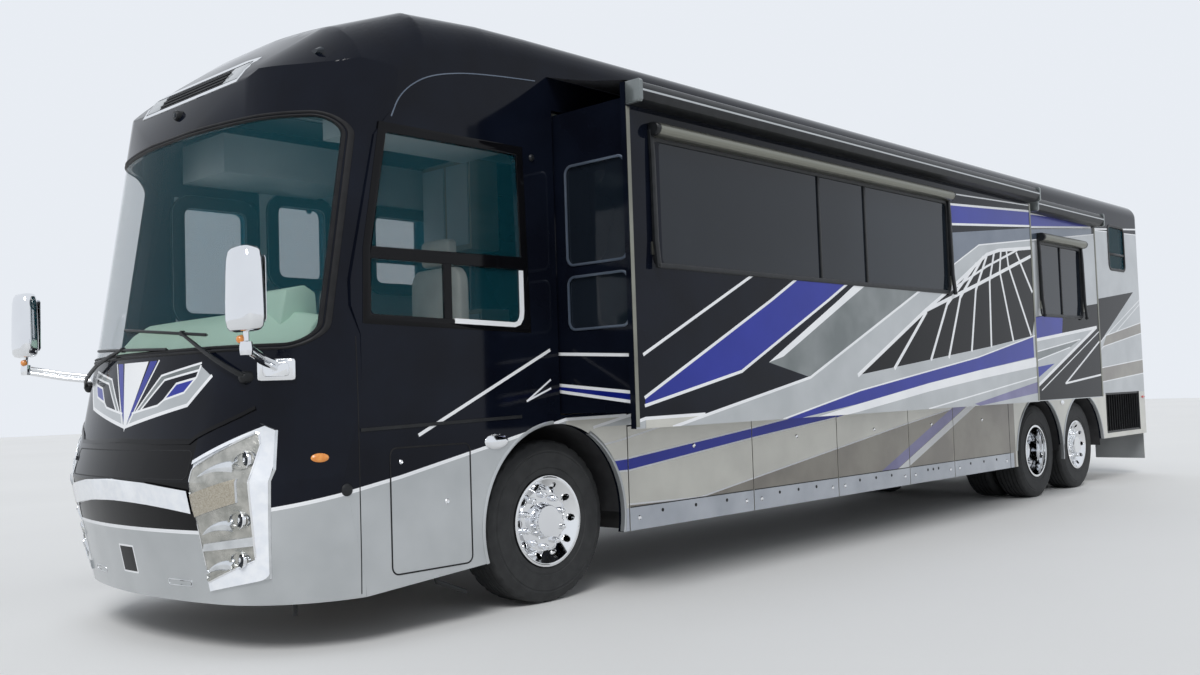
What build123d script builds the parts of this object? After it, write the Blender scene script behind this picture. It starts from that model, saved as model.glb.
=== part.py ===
from build123d import *
import os
from math import radians, sin

# A three-axle coach-built motorhome with its slide-out rooms extended.
# Millimetres. X forward, Y to the left, Z up. The origin is on the ground,
# on the centreline, halfway along the body.

# Overall
LENGTH = 13690
WIDTH = 2565
ROOF_Z = 3700
NOSE_TO_AXLE = 2320
WHEELBASE = 7690
TAG_SPACING = 1320
HALF_L = LENGTH / 2
HALF_W = WIDTH / 2
FRONT_X = HALF_L - NOSE_TO_AXLE
DRIVE_X = FRONT_X - WHEELBASE
TAG_X = DRIVE_X - TAG_SPACING

# Wheels and axles
TYRE_R = 522
TYRE_W = 315
RIM_R = 292
FRONT_FACE_Y = 1200
DRIVE_FACE_Y = 1240
DUAL_GAP = 45
KINGPIN_Y = 930
FRONT_DISC = 70
DRIVE_DISC = 300
BORE_R = 45
BORE_GAP = 0.5
SPINDLE_IN = 15

# Body shell
CAP_T = 40
WALL_T = 50
ROOF_T = 50
ROOF_R = 180
ROOF_CAMBER = 35
SKIRT_Z = 270
ARCH_SKIRT_Z = 360
REAR_SKIRT_Z = 560
FLOOR_Z = 1160
FLOOR_T = 40
FRONT_ARCH_R = 625
REAR_ARCH_R = 650
REAR_ARCH_Z = 480
LINER_T = 8
LINER_IN_Y = 490
REAR_CAP_L = 250
WALL_TOP = ROOF_Z - ROOF_CAMBER - ROOF_R

# Front cap outline, seen from above, measured from the front axle
NOSE_SIDE = (2235, HALF_W - 547.5)
LAMP_SIDE = (1970, HALF_W - 132.5)
CORNER_X = 1500
# Height and forward shift of the outline, up the nose and the windscreen
CREASE_Z = 1190
PROUD = 12
CAP_SECTIONS = ((SKIRT_Z, -150), (930, -PROUD), (CREASE_Z, -85), (1580, -160))
GLASS_LEAN = 0.1655
CROWN_R = 1070
GLASS_TOP_Z = 2925
GLASS_BASE_Z = 1655
GLASS_EDGE = 82.5
GLASS_HALF_W = HALF_W - GLASS_EDGE
GLASS_CORNER_R = 110
GLASS_T = 8

# Left lamp unit and nose bar seen from ahead: distance to the left, height
LAMP_SIDE_Y = NOSE_SIDE[1] + 13
LAMP_FACE = (
    (LAMP_SIDE_Y, 342), (LAMP_SIDE_Y, 1050), (LAMP_SIDE_Y + 320, 1232), (LAMP_SIDE_Y + 380, 1195),
    (LAMP_SIDE_Y + 402, 990), (LAMP_SIDE_Y + 330, 412),
)
LAMP_INNER = (
    (LAMP_SIDE_Y - 50, 392), (LAMP_SIDE_Y - 50, 1000), (LAMP_SIDE_Y + 309, 1183), (LAMP_SIDE_Y + 337, 1120),
    (LAMP_SIDE_Y + 288, 517),
)
LAMP_LENS = ((LAMP_SIDE_Y, 745), (LAMP_SIDE_Y, 868), (LAMP_SIDE_Y + 270, 949), (LAMP_SIDE_Y + 254, 822))
LAMP_LEDGE = ((LAMP_SIDE_Y + 7, 560), (LAMP_SIDE_Y + 27, 600), (LAMP_SIDE_Y + 305, 640), (LAMP_SIDE_Y + 299, 592))
LAMP_CENTRES = ((LAMP_SIDE_Y + 281, 1045), (LAMP_SIDE_Y + 247, 732), (LAMP_SIDE_Y + 212, 518))
LAMP_R = 48
LAMP_RIM = 12
BAR_HALF_W = NOSE_SIDE[1] - 10
BAR_Z0 = 815
BAR_Z1 = 938
BAR_SAG = 52

# Cab side seam, from the front axle
SEAM_X = 1485
SEAM_BASE_Z = 1700
SEAM_TOP_X = 100
SEAM_TOP_Z = 3390

# Roof section of the cap at places ahead of the front axle:
# place, radius of the roof edge, drop of the top, camber
CROWN_SECTIONS = (
    (SEAM_TOP_X, ROOF_R, 0, ROOF_CAMBER),
    (500, 200, 0, 35),
    (1000, 300, 0, 50),
    (1400, 500, 110, 120),
    (1750, 660, 360, 190),
    (1950, 690, 520, 220),
    (2500, 690, 520, 220),
)

# Bay doors, seams measured from the front axle
DOOR_T = 45
DOOR_GAP = 10
BAY_Z0 = 389
BAY_Z1 = 1100
BAY_FRONT = 677
BAY_SPAN = WHEELBASE - 832 - BAY_FRONT
LEFT_SHARES = (0, 0.2348, 0.4349, 0.6389, 0.7874, 1)
RIGHT_SHARES = (0, 0.3346, 0.6719, 1)
BAY_SEAMS = [-BAY_FRONT - share * BAY_SPAN for share in LEFT_SHARES]
RIGHT_SEAMS = [-BAY_FRONT - share * BAY_SPAN for share in RIGHT_SHARES]

# Slide-out rooms
SLIDE_GAP = 5
FLANGE_T = 40
FLANGE_LAP = 40
FLANGE_HANG = 88
ROOM_T = 30
ROOM_CLEAR = 30
ROOM_LEFT_IN = 60
TOPPER_OUT = 120
TOPPER_H = 140
CASE_OUT = 90
CASE_H = 85
CASE_CUT = 0.2
CASE_LAP = 40
CASE_UP = 20
ARM_LAP = 25
ARM_W = 30
ARM_OUT = 40
# name, side, travel, front x, rear x, top z, window x0, x1, z0, z1
SLIDES = (
    ("front_left", 1, 640, -40, -5990, 3190, -300, -4200, 2130, 2900),
    ("rear_left", 1, 560, -6180, -7960, 3120, -6400, -7500, 2000, 2720),
    ("right", -1, 640, -1450, -5200, 3190, -1900, -4500, 2130, 2900),
)


def side_plane(side, inset=0):
    """Upright plane along a body side, its normal to the right."""
    return Plane.XZ.offset(-side * (HALF_W - inset))


def cap_outline(shift, inset, back):
    """Outline of the cap from above, drawn in the line block in use."""
    nose_x = FRONT_X + NOSE_TO_AXLE + shift - inset
    side_x = FRONT_X + NOSE_SIDE[0] + shift - inset
    lamp_x = FRONT_X + LAMP_SIDE[0] + shift - inset * 0.75
    end_x = FRONT_X + CORNER_X + shift
    side_y = NOSE_SIDE[1]
    lamp_y = LAMP_SIDE[1] - inset * 0.66
    half = HALF_W - inset
    ThreePointArc((side_x, -side_y), (nose_x, 0), (side_x, side_y))
    ThreePointArc((side_x, side_y), (lamp_x, lamp_y), (end_x, half))
    Polyline((end_x, half), (back, half), (back, -half), (end_x, -half))
    ThreePointArc((end_x, -half), (lamp_x, -lamp_y), (side_x, -side_y))


def roof_section(plane, inset, base=0, radius=ROOF_R, drop=0, camber=ROOF_CAMBER):
    """Section across the body, with rounded roof edges."""
    half = HALF_W - inset
    top = ROOF_Z - drop - inset
    edge = top - camber
    with BuildSketch(plane) as section:
        with BuildLine():
            Polyline((-half, edge), (-half, base), (half, base), (half, edge))
            ThreePointArc((half, edge), (0, top), (-half, edge))
        make_face()
        fillet(section.vertices().group_by(Axis.Y)[-1], radius - inset)
    return section.sketch


def cap_body(inset, back=FRONT_X - 100):
    """Solid form of the cap, set in from its outer surface by inset."""
    lean_x = CAP_SECTIONS[-1][1] - (ROOF_Z + 60 - CAP_SECTIONS[-1][0]) * GLASS_LEAN
    rows = CAP_SECTIONS + ((ROOF_Z + 60, lean_x),)
    sections = [roof_section(Plane.YZ.offset(back - 50), inset)]
    for x, radius, drop, camber in CROWN_SECTIONS:
        sections.append(roof_section(Plane.YZ.offset(fx(x)), inset, 0, radius, drop, camber))
    with BuildPart() as body:
        for z, shift in rows:
            with BuildSketch(Plane.XY.offset(z)):
                with BuildLine():
                    cap_outline(shift, inset, back)
                make_face()
        loft(ruled=True)
        with BuildSketch(Plane.XZ.offset(-WIDTH)) as crown:
            top = ROOF_Z - inset + 6
            base_z, lean = CAP_SECTIONS[-1]
            face_x = FRONT_X + NOSE_TO_AXLE + lean - inset
            corner_x = face_x - (top - base_z) * GLASS_LEAN
            with BuildLine():
                Polyline(
                    (back - 50, 0),
                    (back - 50, top),
                    (corner_x, top),
                    (face_x, base_z),
                    (face_x + NOSE_TO_AXLE, base_z),
                    (face_x + NOSE_TO_AXLE, 0),
                    close=True,
                )
            make_face()
            corner = crown.vertices().sort_by_distance((corner_x, top, 0))[0]
            fillet(corner, CROWN_R - inset)
        extrude(amount=2 * WIDTH, mode=Mode.INTERSECT)
        loft(sections, ruled=True, mode=Mode.INTERSECT)
    return body.part


def save(part, label):
    part.label = label
    export_step(part, f"parts/{label}.step")


def fx(x):
    """Place along the body from a distance ahead of the front axle."""
    return FRONT_X + x


def block(x0, x1, y0, y1, z0, z1):
    """Box between two corners."""
    size = (abs(x1 - x0), abs(y1 - y0), abs(z1 - z0))
    return Pos((x0 + x1) / 2, (y0 + y1) / 2, (z0 + z1) / 2) * Box(*size, mode=Mode.PRIVATE)


def rod(start, end, radius):
    """Round bar from start to end."""
    way = Vector(*end) - Vector(*start)
    upright = (Align.CENTER, Align.CENTER, Align.MIN)
    return Plane(origin=start, z_dir=way) * Cylinder(radius, way.length, align=upright, mode=Mode.PRIVATE)


def seam_points():
    """Rear edge of the cap seen from the side, from the skirt to the roof."""
    return (
        (fx(SEAM_X), SEAM_BASE_Z),
        (fx(SEAM_X + 60), SEAM_BASE_Z + 160),
        (fx(SEAM_X + 60), SEAM_BASE_Z + 300),
        (fx(SEAM_X - 120), GLASS_TOP_Z - 95),
    )


def seam_line(start, end):
    """Cap seam between two extra corner points, as a closed outline."""
    seam = seam_points()
    top = (fx(SEAM_TOP_X), SEAM_TOP_Z)
    bend = (fx(SEAM_X - 440), GLASS_TOP_Z + 235)
    Polyline(*start, *seam)
    ThreePointArc(seam[-1], bend, top)
    Polyline(top, *end, start[0])


os.makedirs("parts", exist_ok=True)
REAR_SEAM = -HALF_L + REAR_CAP_L

# Front cap: a hollow moulding, open below and behind
cap_outer = cap_body(0)
cap_inner = cap_body(CAP_T)
cap_proud = cap_body(-PROUD)
PANEL_Z1 = CREASE_Z - 30
with BuildPart() as cap_shell:
    add(cap_outer)
    add(cap_inner, mode=Mode.SUBTRACT)
    with BuildSketch(Plane.XZ.offset(-WIDTH)) as behind_seam:
        with BuildLine():
            seam_line(((fx(-300), 0), (fx(SEAM_X), 0)), ((fx(SEAM_TOP_X), ROOF_Z + 100), (fx(-300), ROOF_Z + 100)))
        make_face()
    extrude(amount=2 * WIDTH, mode=Mode.SUBTRACT)
with BuildSketch(Plane.YZ) as glass_outline:
    with Locations((0, (GLASS_TOP_Z + GLASS_BASE_Z) / 2)):
        RectangleRounded(2 * GLASS_HALF_W, GLASS_TOP_Z - GLASS_BASE_Z, GLASS_CORNER_R)
with BuildSketch(Plane.YZ) as nose_outline:
    with Locations((0, (PANEL_Z1 + SKIRT_Z) / 2 - 50)):
        Rectangle(2 * NOSE_SIDE[1], PANEL_Z1 - SKIRT_Z + 100)
with BuildSketch(Plane.YZ) as lamp_outline:
    Polygon(*LAMP_FACE, align=None)
    mirror(about=Plane.YZ)
# Raised forms: light bands round the lamps, lamp rims and side lenses, and the light bar on the nose
with BuildSketch(Plane.YZ) as lamp_relief:
    Polygon(*LAMP_FACE, align=None)
    Polygon(*LAMP_INNER, align=None, mode=Mode.SUBTRACT)
    for row in (LAMP_LENS, LAMP_LEDGE):
        Polygon(*row, align=None)
    with Locations(*LAMP_CENTRES):
        Circle(LAMP_R)
        Circle(LAMP_R - LAMP_RIM, mode=Mode.SUBTRACT)
    mirror(about=Plane.YZ)
with BuildSketch(Plane.YZ) as bar_outline:
    with BuildLine():
        ThreePointArc((-BAR_HALF_W, BAR_Z1 - BAR_SAG), (0, BAR_Z1), (BAR_HALF_W, BAR_Z1 - BAR_SAG))
        Line((BAR_HALF_W, BAR_Z1 - BAR_SAG), (BAR_HALF_W, BAR_Z0 - BAR_SAG))
        ThreePointArc((BAR_HALF_W, BAR_Z0 - BAR_SAG), (0, BAR_Z0), (-BAR_HALF_W, BAR_Z0 - BAR_SAG))
        Line((-BAR_HALF_W, BAR_Z0 - BAR_SAG), (-BAR_HALF_W, BAR_Z1 - BAR_SAG))
    make_face()
with BuildPart() as glass_prism:
    extrude(glass_outline.sketch, amount=LENGTH)
with BuildPart() as nose_prism:
    extrude(nose_outline.sketch, amount=LENGTH)
with BuildPart() as lamp_prism:
    extrude(lamp_outline.sketch, amount=LENGTH)
with BuildPart() as lamp_forms:
    extrude(lamp_relief.sketch, amount=LENGTH)
    add(cap_proud, mode=Mode.INTERSECT)
    add(cap_outer, mode=Mode.SUBTRACT)
with BuildPart() as light_bar:
    extrude(bar_outline.sketch, amount=LENGTH)
    add(cap_proud, mode=Mode.INTERSECT)
    add(cap_outer, mode=Mode.SUBTRACT)
with BuildPart() as front_cap:
    add(cap_shell.part)
    add(glass_prism.part, mode=Mode.SUBTRACT)
    add(nose_prism.part, mode=Mode.SUBTRACT)
    add(lamp_prism.part, mode=Mode.SUBTRACT)
save(front_cap.part, "front_cap")
with BuildPart() as nose_panel:
    add(cap_shell.part)
    add(nose_prism.part, mode=Mode.INTERSECT)
    add(light_bar.part)
save(nose_panel.part, "nose_panel")
with BuildPart() as headlamps:
    add(cap_shell.part)
    add(lamp_prism.part, mode=Mode.INTERSECT)
    add(lamp_forms.part)
save(headlamps.part, "headlamps")
glass_outer = cap_body(GLASS_T / 2)
glass_inner = cap_body(GLASS_T * 1.5)
with BuildPart() as windscreen:
    add(glass_outer)
    add(glass_prism.part, mode=Mode.INTERSECT)
    add(glass_inner, mode=Mode.SUBTRACT)
save(windscreen.part, "windscreen")

# Side walls, split at the cap seam, open at windows, doors, rooms and arches
WALL_FOOT_Z = BAY_Z1 + DOOR_GAP
DRIVER_WINDOW = ((250, 1780), (1420, 1810), (1410, 2180), (1290, 2860), (280, 2860))
ACCESS = (732, 1304, 365, 1060)
ENTRY = (655, 1330, 380, 2860)
TAIL = -HALF_L - FRONT_X
REAR_ROOM = TAG_X - REAR_ARCH_R - REAR_SEAM
GRILLE = (TAIL + REAR_CAP_L + 0.048 * REAR_ROOM, TAIL + REAR_CAP_L + 0.904 * REAR_ROOM, 620, 1130)
# side, rear x, front x, lower z, upper z
SIDE_WINDOWS = (
    (1, TAIL + 610, TAIL + 1170, 2750, 3300),
    (-1, TAIL + 610, TAIL + 1170, 2750, 3300),
    (-1, -7500, -6400, 2100, 2800),
    (-1, 60, 480, 2300, 2860),
    (-1, -1200, -420, 2300, 2860),
)
WINDOW_R = 60
DOOR_R = 45
with BuildSketch() as driver_window:
    Polygon(*((fx(x), z) for x, z in DRIVER_WINDOW), align=None)
    fillet(driver_window.vertices(), 50)


def wall_sketch(side):
    """Outline of one side wall with all its openings, seen from the side."""
    seams = BAY_SEAMS if side > 0 else RIGHT_SEAMS
    half_gap = DOOR_GAP / 2
    bay_front = fx(seams[0]) + half_gap
    bay_rear = fx(seams[-1]) - half_gap
    with BuildSketch(side_plane(side)) as wall:
        with BuildLine():
            seam_line(
                (
                    (REAR_SEAM, REAR_SKIRT_Z),
                    (DRIVE_X - 100, REAR_SKIRT_Z),
                    (DRIVE_X - 100, BAY_Z0),
                    (bay_rear, BAY_Z0),
                    (bay_rear, WALL_FOOT_Z),
                    (bay_front, WALL_FOOT_Z),
                    (bay_front, BAY_Z0),
                    (fx(-300), BAY_Z0),
                    (fx(300), ARCH_SKIRT_Z),
                    (fx(SEAM_X), SKIRT_Z),
                ),
                ((fx(SEAM_TOP_X), WALL_TOP), (REAR_SEAM, WALL_TOP)),
            )
        make_face()
        with Locations((FRONT_X, TYRE_R)):
            Circle(FRONT_ARCH_R, mode=Mode.SUBTRACT)
        with Locations((DRIVE_X, REAR_ARCH_Z), (TAG_X, REAR_ARCH_Z)):
            Circle(REAR_ARCH_R, mode=Mode.SUBTRACT)
        for name, at, travel, x1, x0, top, *window in SLIDES:
            if at == side:
                with Locations((fx((x0 + x1) / 2), (FLOOR_Z + FLOOR_T + top) / 2)):
                    Rectangle(x1 - x0, top - FLOOR_Z - FLOOR_T, mode=Mode.SUBTRACT)
        for at, x0, x1, z0, z1 in SIDE_WINDOWS:
            if at == side:
                with Locations((fx((x0 + x1) / 2), (z0 + z1) / 2)):
                    RectangleRounded(x1 - x0, z1 - z0, WINDOW_R, mode=Mode.SUBTRACT)
        if side > 0:
            add(driver_window.sketch, mode=Mode.SUBTRACT)
            with Locations((fx((ACCESS[0] + ACCESS[1]) / 2), (ACCESS[2] + ACCESS[3]) / 2)):
                RectangleRounded(ACCESS[1] - ACCESS[0] + DOOR_GAP, ACCESS[3] - ACCESS[2] + DOOR_GAP, DOOR_R,
                                 mode=Mode.SUBTRACT)
            with Locations((fx((GRILLE[0] + GRILLE[1]) / 2), (GRILLE[2] + GRILLE[3]) / 2)):
                Rectangle(GRILLE[1] - GRILLE[0], GRILLE[3] - GRILLE[2], mode=Mode.SUBTRACT)
        else:
            with Locations((fx((ENTRY[0] + ENTRY[1]) / 2), (ENTRY[2] + ENTRY[3]) / 2)):
                RectangleRounded(ENTRY[1] - ENTRY[0] + DOOR_GAP, ENTRY[3] - ENTRY[2] + DOOR_GAP, DOOR_R,
                                 mode=Mode.SUBTRACT)
    return wall.sketch


left_outline = wall_sketch(1)
right_outline = wall_sketch(-1)
with BuildPart() as left_wall:
    extrude(left_outline, amount=WALL_T)
save(left_wall.part, "left_wall")
with BuildPart() as right_wall:
    extrude(right_outline, amount=-WALL_T)
save(right_wall.part, "right_wall")

# Fixed side glass, set 6 mm in from the wall's outer face
with BuildPart() as side_glass:
    for at, x0, x1, z0, z1 in SIDE_WINDOWS:
        with BuildSketch(side_plane(at, 6)):
            with Locations((fx((x0 + x1) / 2), (z0 + z1) / 2)):
                RectangleRounded(x1 - x0, z1 - z0, WINDOW_R)
        extrude(amount=at * GLASS_T)
    with BuildSketch(side_plane(1, 6)):
        add(driver_window.sketch)
    extrude(amount=GLASS_T)
save(side_glass.part, "side_glass")

# Roof skin with rounded edges, from the cap to the rear cap
roof_outside = roof_section(Plane.YZ.offset(REAR_SEAM), 0, WALL_TOP)
roof_inside = roof_section(Plane.YZ.offset(REAR_SEAM), ROOF_T, WALL_TOP)
with BuildPart() as roof:
    extrude(roof_outside, amount=fx(SEAM_TOP_X) - REAR_SEAM)
    extrude(roof_inside, amount=fx(SEAM_TOP_X) - REAR_SEAM, mode=Mode.SUBTRACT)
save(roof.part, "roof")

# Rear cap with the engine door opening and lamp pockets
ENGINE_DOOR = (760, 620, 1760)
TAIL_Y = (1040, 1130)
TAIL_Z = (820, 1500)
TAIL_T = 15
FLAP = (30, 42, HALF_W - 710, HALF_W - 60, 210)
LOUVRES = 9
LOUVRE_H = 26
LOUVRE_DEEP = 14
rear_outside = roof_section(Plane.YZ.offset(-HALF_L), 0, REAR_SKIRT_Z)
rear_inside = roof_section(Plane.YZ.offset(-HALF_L + WALL_T), WALL_T, REAR_SKIRT_Z)
with BuildPart() as rear_cap:
    extrude(rear_outside, amount=REAR_CAP_L)
    fillet(rear_cap.edges().filter_by(Axis.Z).group_by(Axis.X)[0], 110)
    extrude(rear_inside, amount=REAR_CAP_L, mode=Mode.SUBTRACT)
    with BuildSketch(Plane.YZ.offset(-HALF_L)):
        with Locations((0, (ENGINE_DOOR[1] + ENGINE_DOOR[2]) / 2)):
            Rectangle(2 * ENGINE_DOOR[0] + DOOR_GAP, ENGINE_DOOR[2] - ENGINE_DOOR[1] + DOOR_GAP)
    extrude(amount=WALL_T, mode=Mode.SUBTRACT)
    with BuildSketch(Plane.YZ.offset(-HALF_L)) as pockets:
        with Locations(*((s * sum(TAIL_Y) / 2, sum(TAIL_Z) / 2) for s in (1, -1))):
            Rectangle(TAIL_Y[1] - TAIL_Y[0], TAIL_Z[1] - TAIL_Z[0])
    extrude(amount=TAIL_T, mode=Mode.SUBTRACT)
    # Mud flaps hung from the lower edge
    for side in (1, -1):
        add(block(FLAP[0] - HALF_L, FLAP[1] - HALF_L, side * FLAP[2], side * FLAP[3], FLAP[4],
                  REAR_SKIRT_Z + WALL_T))
save(rear_cap.part, "rear_cap")
with BuildPart() as tail_lamps:
    with BuildSketch(Plane.YZ.offset(-HALF_L)):
        with Locations(*((s * sum(TAIL_Y) / 2, sum(TAIL_Z) / 2) for s in (1, -1))):
            Rectangle(TAIL_Y[1] - TAIL_Y[0], TAIL_Z[1] - TAIL_Z[0])
    extrude(amount=TAIL_T)
save(tail_lamps.part, "tail_lamps")
with BuildPart() as engine_door:
    with BuildSketch(Plane.YZ.offset(-HALF_L)):
        with Locations((0, (ENGINE_DOOR[1] + ENGINE_DOOR[2]) / 2)):
            Rectangle(2 * ENGINE_DOOR[0], ENGINE_DOOR[2] - ENGINE_DOOR[1])
    extrude(amount=DOOR_T)
    with BuildSketch(Plane.YZ.offset(-HALF_L)) as louvres:
        with Locations((0, (ENGINE_DOOR[1] + ENGINE_DOOR[2]) / 2)):
            with GridLocations(ENGINE_DOOR[0], 2.5 * LOUVRE_H, 2, LOUVRES):
                Rectangle(0.85 * ENGINE_DOOR[0], LOUVRE_H)
    extrude(amount=LOUVRE_DEEP, mode=Mode.SUBTRACT)
save(engine_door.part, "engine_door")

# Floor of the living space, with the stairwell at the entry door
IN_W = HALF_W - WALL_T
NOSE_Y = HALF_W - 332.5
STEPS = 3
STEP_DEPTH = 150
FLOOR_TOP = FLOOR_Z + FLOOR_T
STEP_RISE = (FLOOR_TOP - ENTRY[2] - 20) / (STEPS + 1)
with BuildPart() as house_floor:
    with BuildSketch(Plane.XY.offset(FLOOR_Z)):
        with BuildLine():
            Polyline(
                (-HALF_L + WALL_T, IN_W),
                (fx(CORNER_X - 50), IN_W),
                (fx(LAMP_SIDE[0] - 20), NOSE_Y),
                (fx(LAMP_SIDE[0] - 20), -NOSE_Y),
                (fx(CORNER_X - 50), -IN_W),
                (-HALF_L + WALL_T, -IN_W),
                close=True,
            )
        make_face()
        with Locations((fx((ENTRY[0] + ENTRY[1]) / 2), -IN_W + STEPS * STEP_DEPTH / 2)):
            Rectangle(ENTRY[1] - ENTRY[0] - 20, STEPS * STEP_DEPTH, mode=Mode.SUBTRACT)
    extrude(amount=FLOOR_T)
    with BuildSketch(Plane.YZ.offset(fx(ENTRY[0] + 10))) as steps:
        with BuildLine():
            foot = ENTRY[2] + 20
            inner_y = -IN_W + STEPS * STEP_DEPTH
            points = [(-IN_W + 2, foot - 20), (-IN_W + 2, foot)]
            for i in range(STEPS):
                y = -IN_W + (i + 1) * STEP_DEPTH
                points += [(y, foot + i * STEP_RISE), (y, foot + (i + 1) * STEP_RISE)]
            points += [(inner_y, FLOOR_TOP), (inner_y + 20, FLOOR_TOP), (inner_y + 20, foot - 20)]
            Polyline(*points, close=True)
        make_face()
    extrude(amount=ENTRY[1] - ENTRY[0] - 20)
save(house_floor.part, "house_floor")

# Chassis: two deep rails under the floor with cross members
RAIL_Y0 = 380
RAIL_Y1 = 460
RAIL_Z0 = 900
with BuildPart() as chassis_frame:
    for side in (1, -1):
        add(block(-HALF_L + 205, fx(1900), side * RAIL_Y0, side * RAIL_Y1, RAIL_Z0, FLOOR_Z))
    for x in (fx(1850), fx(1000), fx(-900), fx(-3000), fx(-5000), DRIVE_X + 750, TAG_X - 540):
        add(block(x - 40, x + 40, -RAIL_Y0, RAIL_Y0, RAIL_Z0 + 40, FLOOR_Z - 40))
save(chassis_frame.part, "chassis_frame")

# Storage bays: one tray with a partition at each door seam, hung on the rails
TRAY_Z0 = BAY_Z0 + 11
TRAY_T = 25
TRAY_Y = HALF_W - DOOR_T - 15
with BuildPart() as basement_tray:
    add(block(fx(BAY_SEAMS[-1] + 8), fx(BAY_SEAMS[0] - 8), -TRAY_Y, TRAY_Y, TRAY_Z0, TRAY_Z0 + TRAY_T))
    for x in BAY_SEAMS:
        at = min(max(x, BAY_SEAMS[-1] + 8 + TRAY_T / 2), BAY_SEAMS[0] - 8 - TRAY_T / 2)
        add(block(fx(at - TRAY_T / 2), fx(at + TRAY_T / 2), -TRAY_Y, TRAY_Y, TRAY_Z0, RAIL_Z0))
save(basement_tray.part, "basement_tray")

# Wheel arch liners
with BuildPart() as wheel_liners:
    for side in (1, -1):
        for x, z, radius in ((FRONT_X, TYRE_R, FRONT_ARCH_R), (DRIVE_X, REAR_ARCH_Z, REAR_ARCH_R),
                             (TAG_X, REAR_ARCH_Z, REAR_ARCH_R)):
            with BuildSketch(side_plane(side, WALL_T)):
                with Locations((x, z)):
                    Circle(radius + LINER_T)
                    Circle(radius, mode=Mode.SUBTRACT)
                with Locations((x, z - radius)):
                    Rectangle(4 * radius, 2 * radius, mode=Mode.SUBTRACT)
            extrude(amount=side * (IN_W - LINER_IN_Y))
            with BuildSketch(side_plane(side, HALF_W - LINER_IN_Y)):
                with Locations((x, z)):
                    Circle(radius + LINER_T)
                with Locations((x, z - radius + 120)):
                    Rectangle(4 * radius, 2 * radius, mode=Mode.SUBTRACT)
            extrude(amount=side * LINER_T)
save(wheel_liners.part, "wheel_liners")

# Radiator grille in the left rear wall: a frame with upright slats
SLATS = 14
with BuildPart() as rear_grille:
    with BuildSketch(side_plane(1, 8)):
        with Locations((fx((GRILLE[0] + GRILLE[1]) / 2), (GRILLE[2] + GRILLE[3]) / 2)):
            Rectangle(GRILLE[1] - GRILLE[0], GRILLE[3] - GRILLE[2])
            Rectangle(GRILLE[1] - GRILLE[0] - 50, GRILLE[3] - GRILLE[2] - 50, mode=Mode.SUBTRACT)
    extrude(amount=30)
    pitch = (GRILLE[1] - GRILLE[0] - 50) / SLATS
    for i in range(SLATS):
        x = fx(GRILLE[0] + 25 + pitch * (i + 0.5))
        with BuildSketch(Plane.XY.offset(GRILLE[2] + 20)):
            with Locations(Location((x, HALF_W - 23), 55)):
                Rectangle(34, 8)
        extrude(amount=GRILLE[3] - GRILLE[2] - 40)
save(rear_grille.part, "rear_grille")

# Front beam, drive axle and tag axle, hung on air springs under the rails
BEAM_Z = TYRE_R
BOSS_H = 105
AIR_R = 85
AIR_Y = 390
with BuildPart() as axles:
    add(block(FRONT_X - 45, FRONT_X + 45, -KINGPIN_Y, KINGPIN_Y, BEAM_Z - 45, BEAM_Z + 45))
    for side in (1, -1):
        with BuildSketch(Plane.XY.offset(BEAM_Z - BOSS_H / 2)):
            with Locations((FRONT_X, side * KINGPIN_Y)):
                Circle(52)
        extrude(amount=BOSS_H)
        with BuildSketch(Plane.XY.offset(BEAM_Z - BOSS_H / 2)):
            with Locations((FRONT_X, side * KINGPIN_Y)):
                Circle(20)
        extrude(amount=BOSS_H, mode=Mode.SUBTRACT)
        with BuildSketch(Plane.XY.offset(BEAM_Z + 40)):
            with Locations((FRONT_X, side * AIR_Y)):
                Circle(AIR_R)
        extrude(amount=RAIL_Z0 - BEAM_Z - 40)
    for x in (DRIVE_X, TAG_X):
        tip = DRIVE_FACE_Y - DRIVE_DISC if x == DRIVE_X else FRONT_FACE_Y - FRONT_DISC
        tip += SPINDLE_IN
        add(rod((x, -tip, BEAM_Z), (x, tip, BEAM_Z), BORE_R - BORE_GAP))
        add(rod((x, -540, BEAM_Z), (x, 540, BEAM_Z), 75))
        for side in (1, -1):
            with BuildSketch(Plane.XY.offset(BEAM_Z + 40)):
                with Locations((x, side * AIR_Y)):
                    Circle(AIR_R)
            extrude(amount=RAIL_Z0 - BEAM_Z - 40)
    add(rod((DRIVE_X - 130, 0, BEAM_Z), (DRIVE_X + 160, 0, BEAM_Z), 190))
save(axles.part, "axles")

# Engine between the rails, from the tag axle to the engine door
OVERHANG = TAG_X + HALF_L
ENGINE_X0 = -HALF_L + min(470, 0.2 * OVERHANG)
ENGINE_X1 = TAG_X - 0.284 * OVERHANG
ENGINE_Z0 = 500
with BuildPart() as engine_block:
    add(block(ENGINE_X0, ENGINE_X1, 30 - RAIL_Y0, RAIL_Y0 - 30, ENGINE_Z0, FLOOR_Z))
save(engine_block.part, "engine_block")

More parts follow.
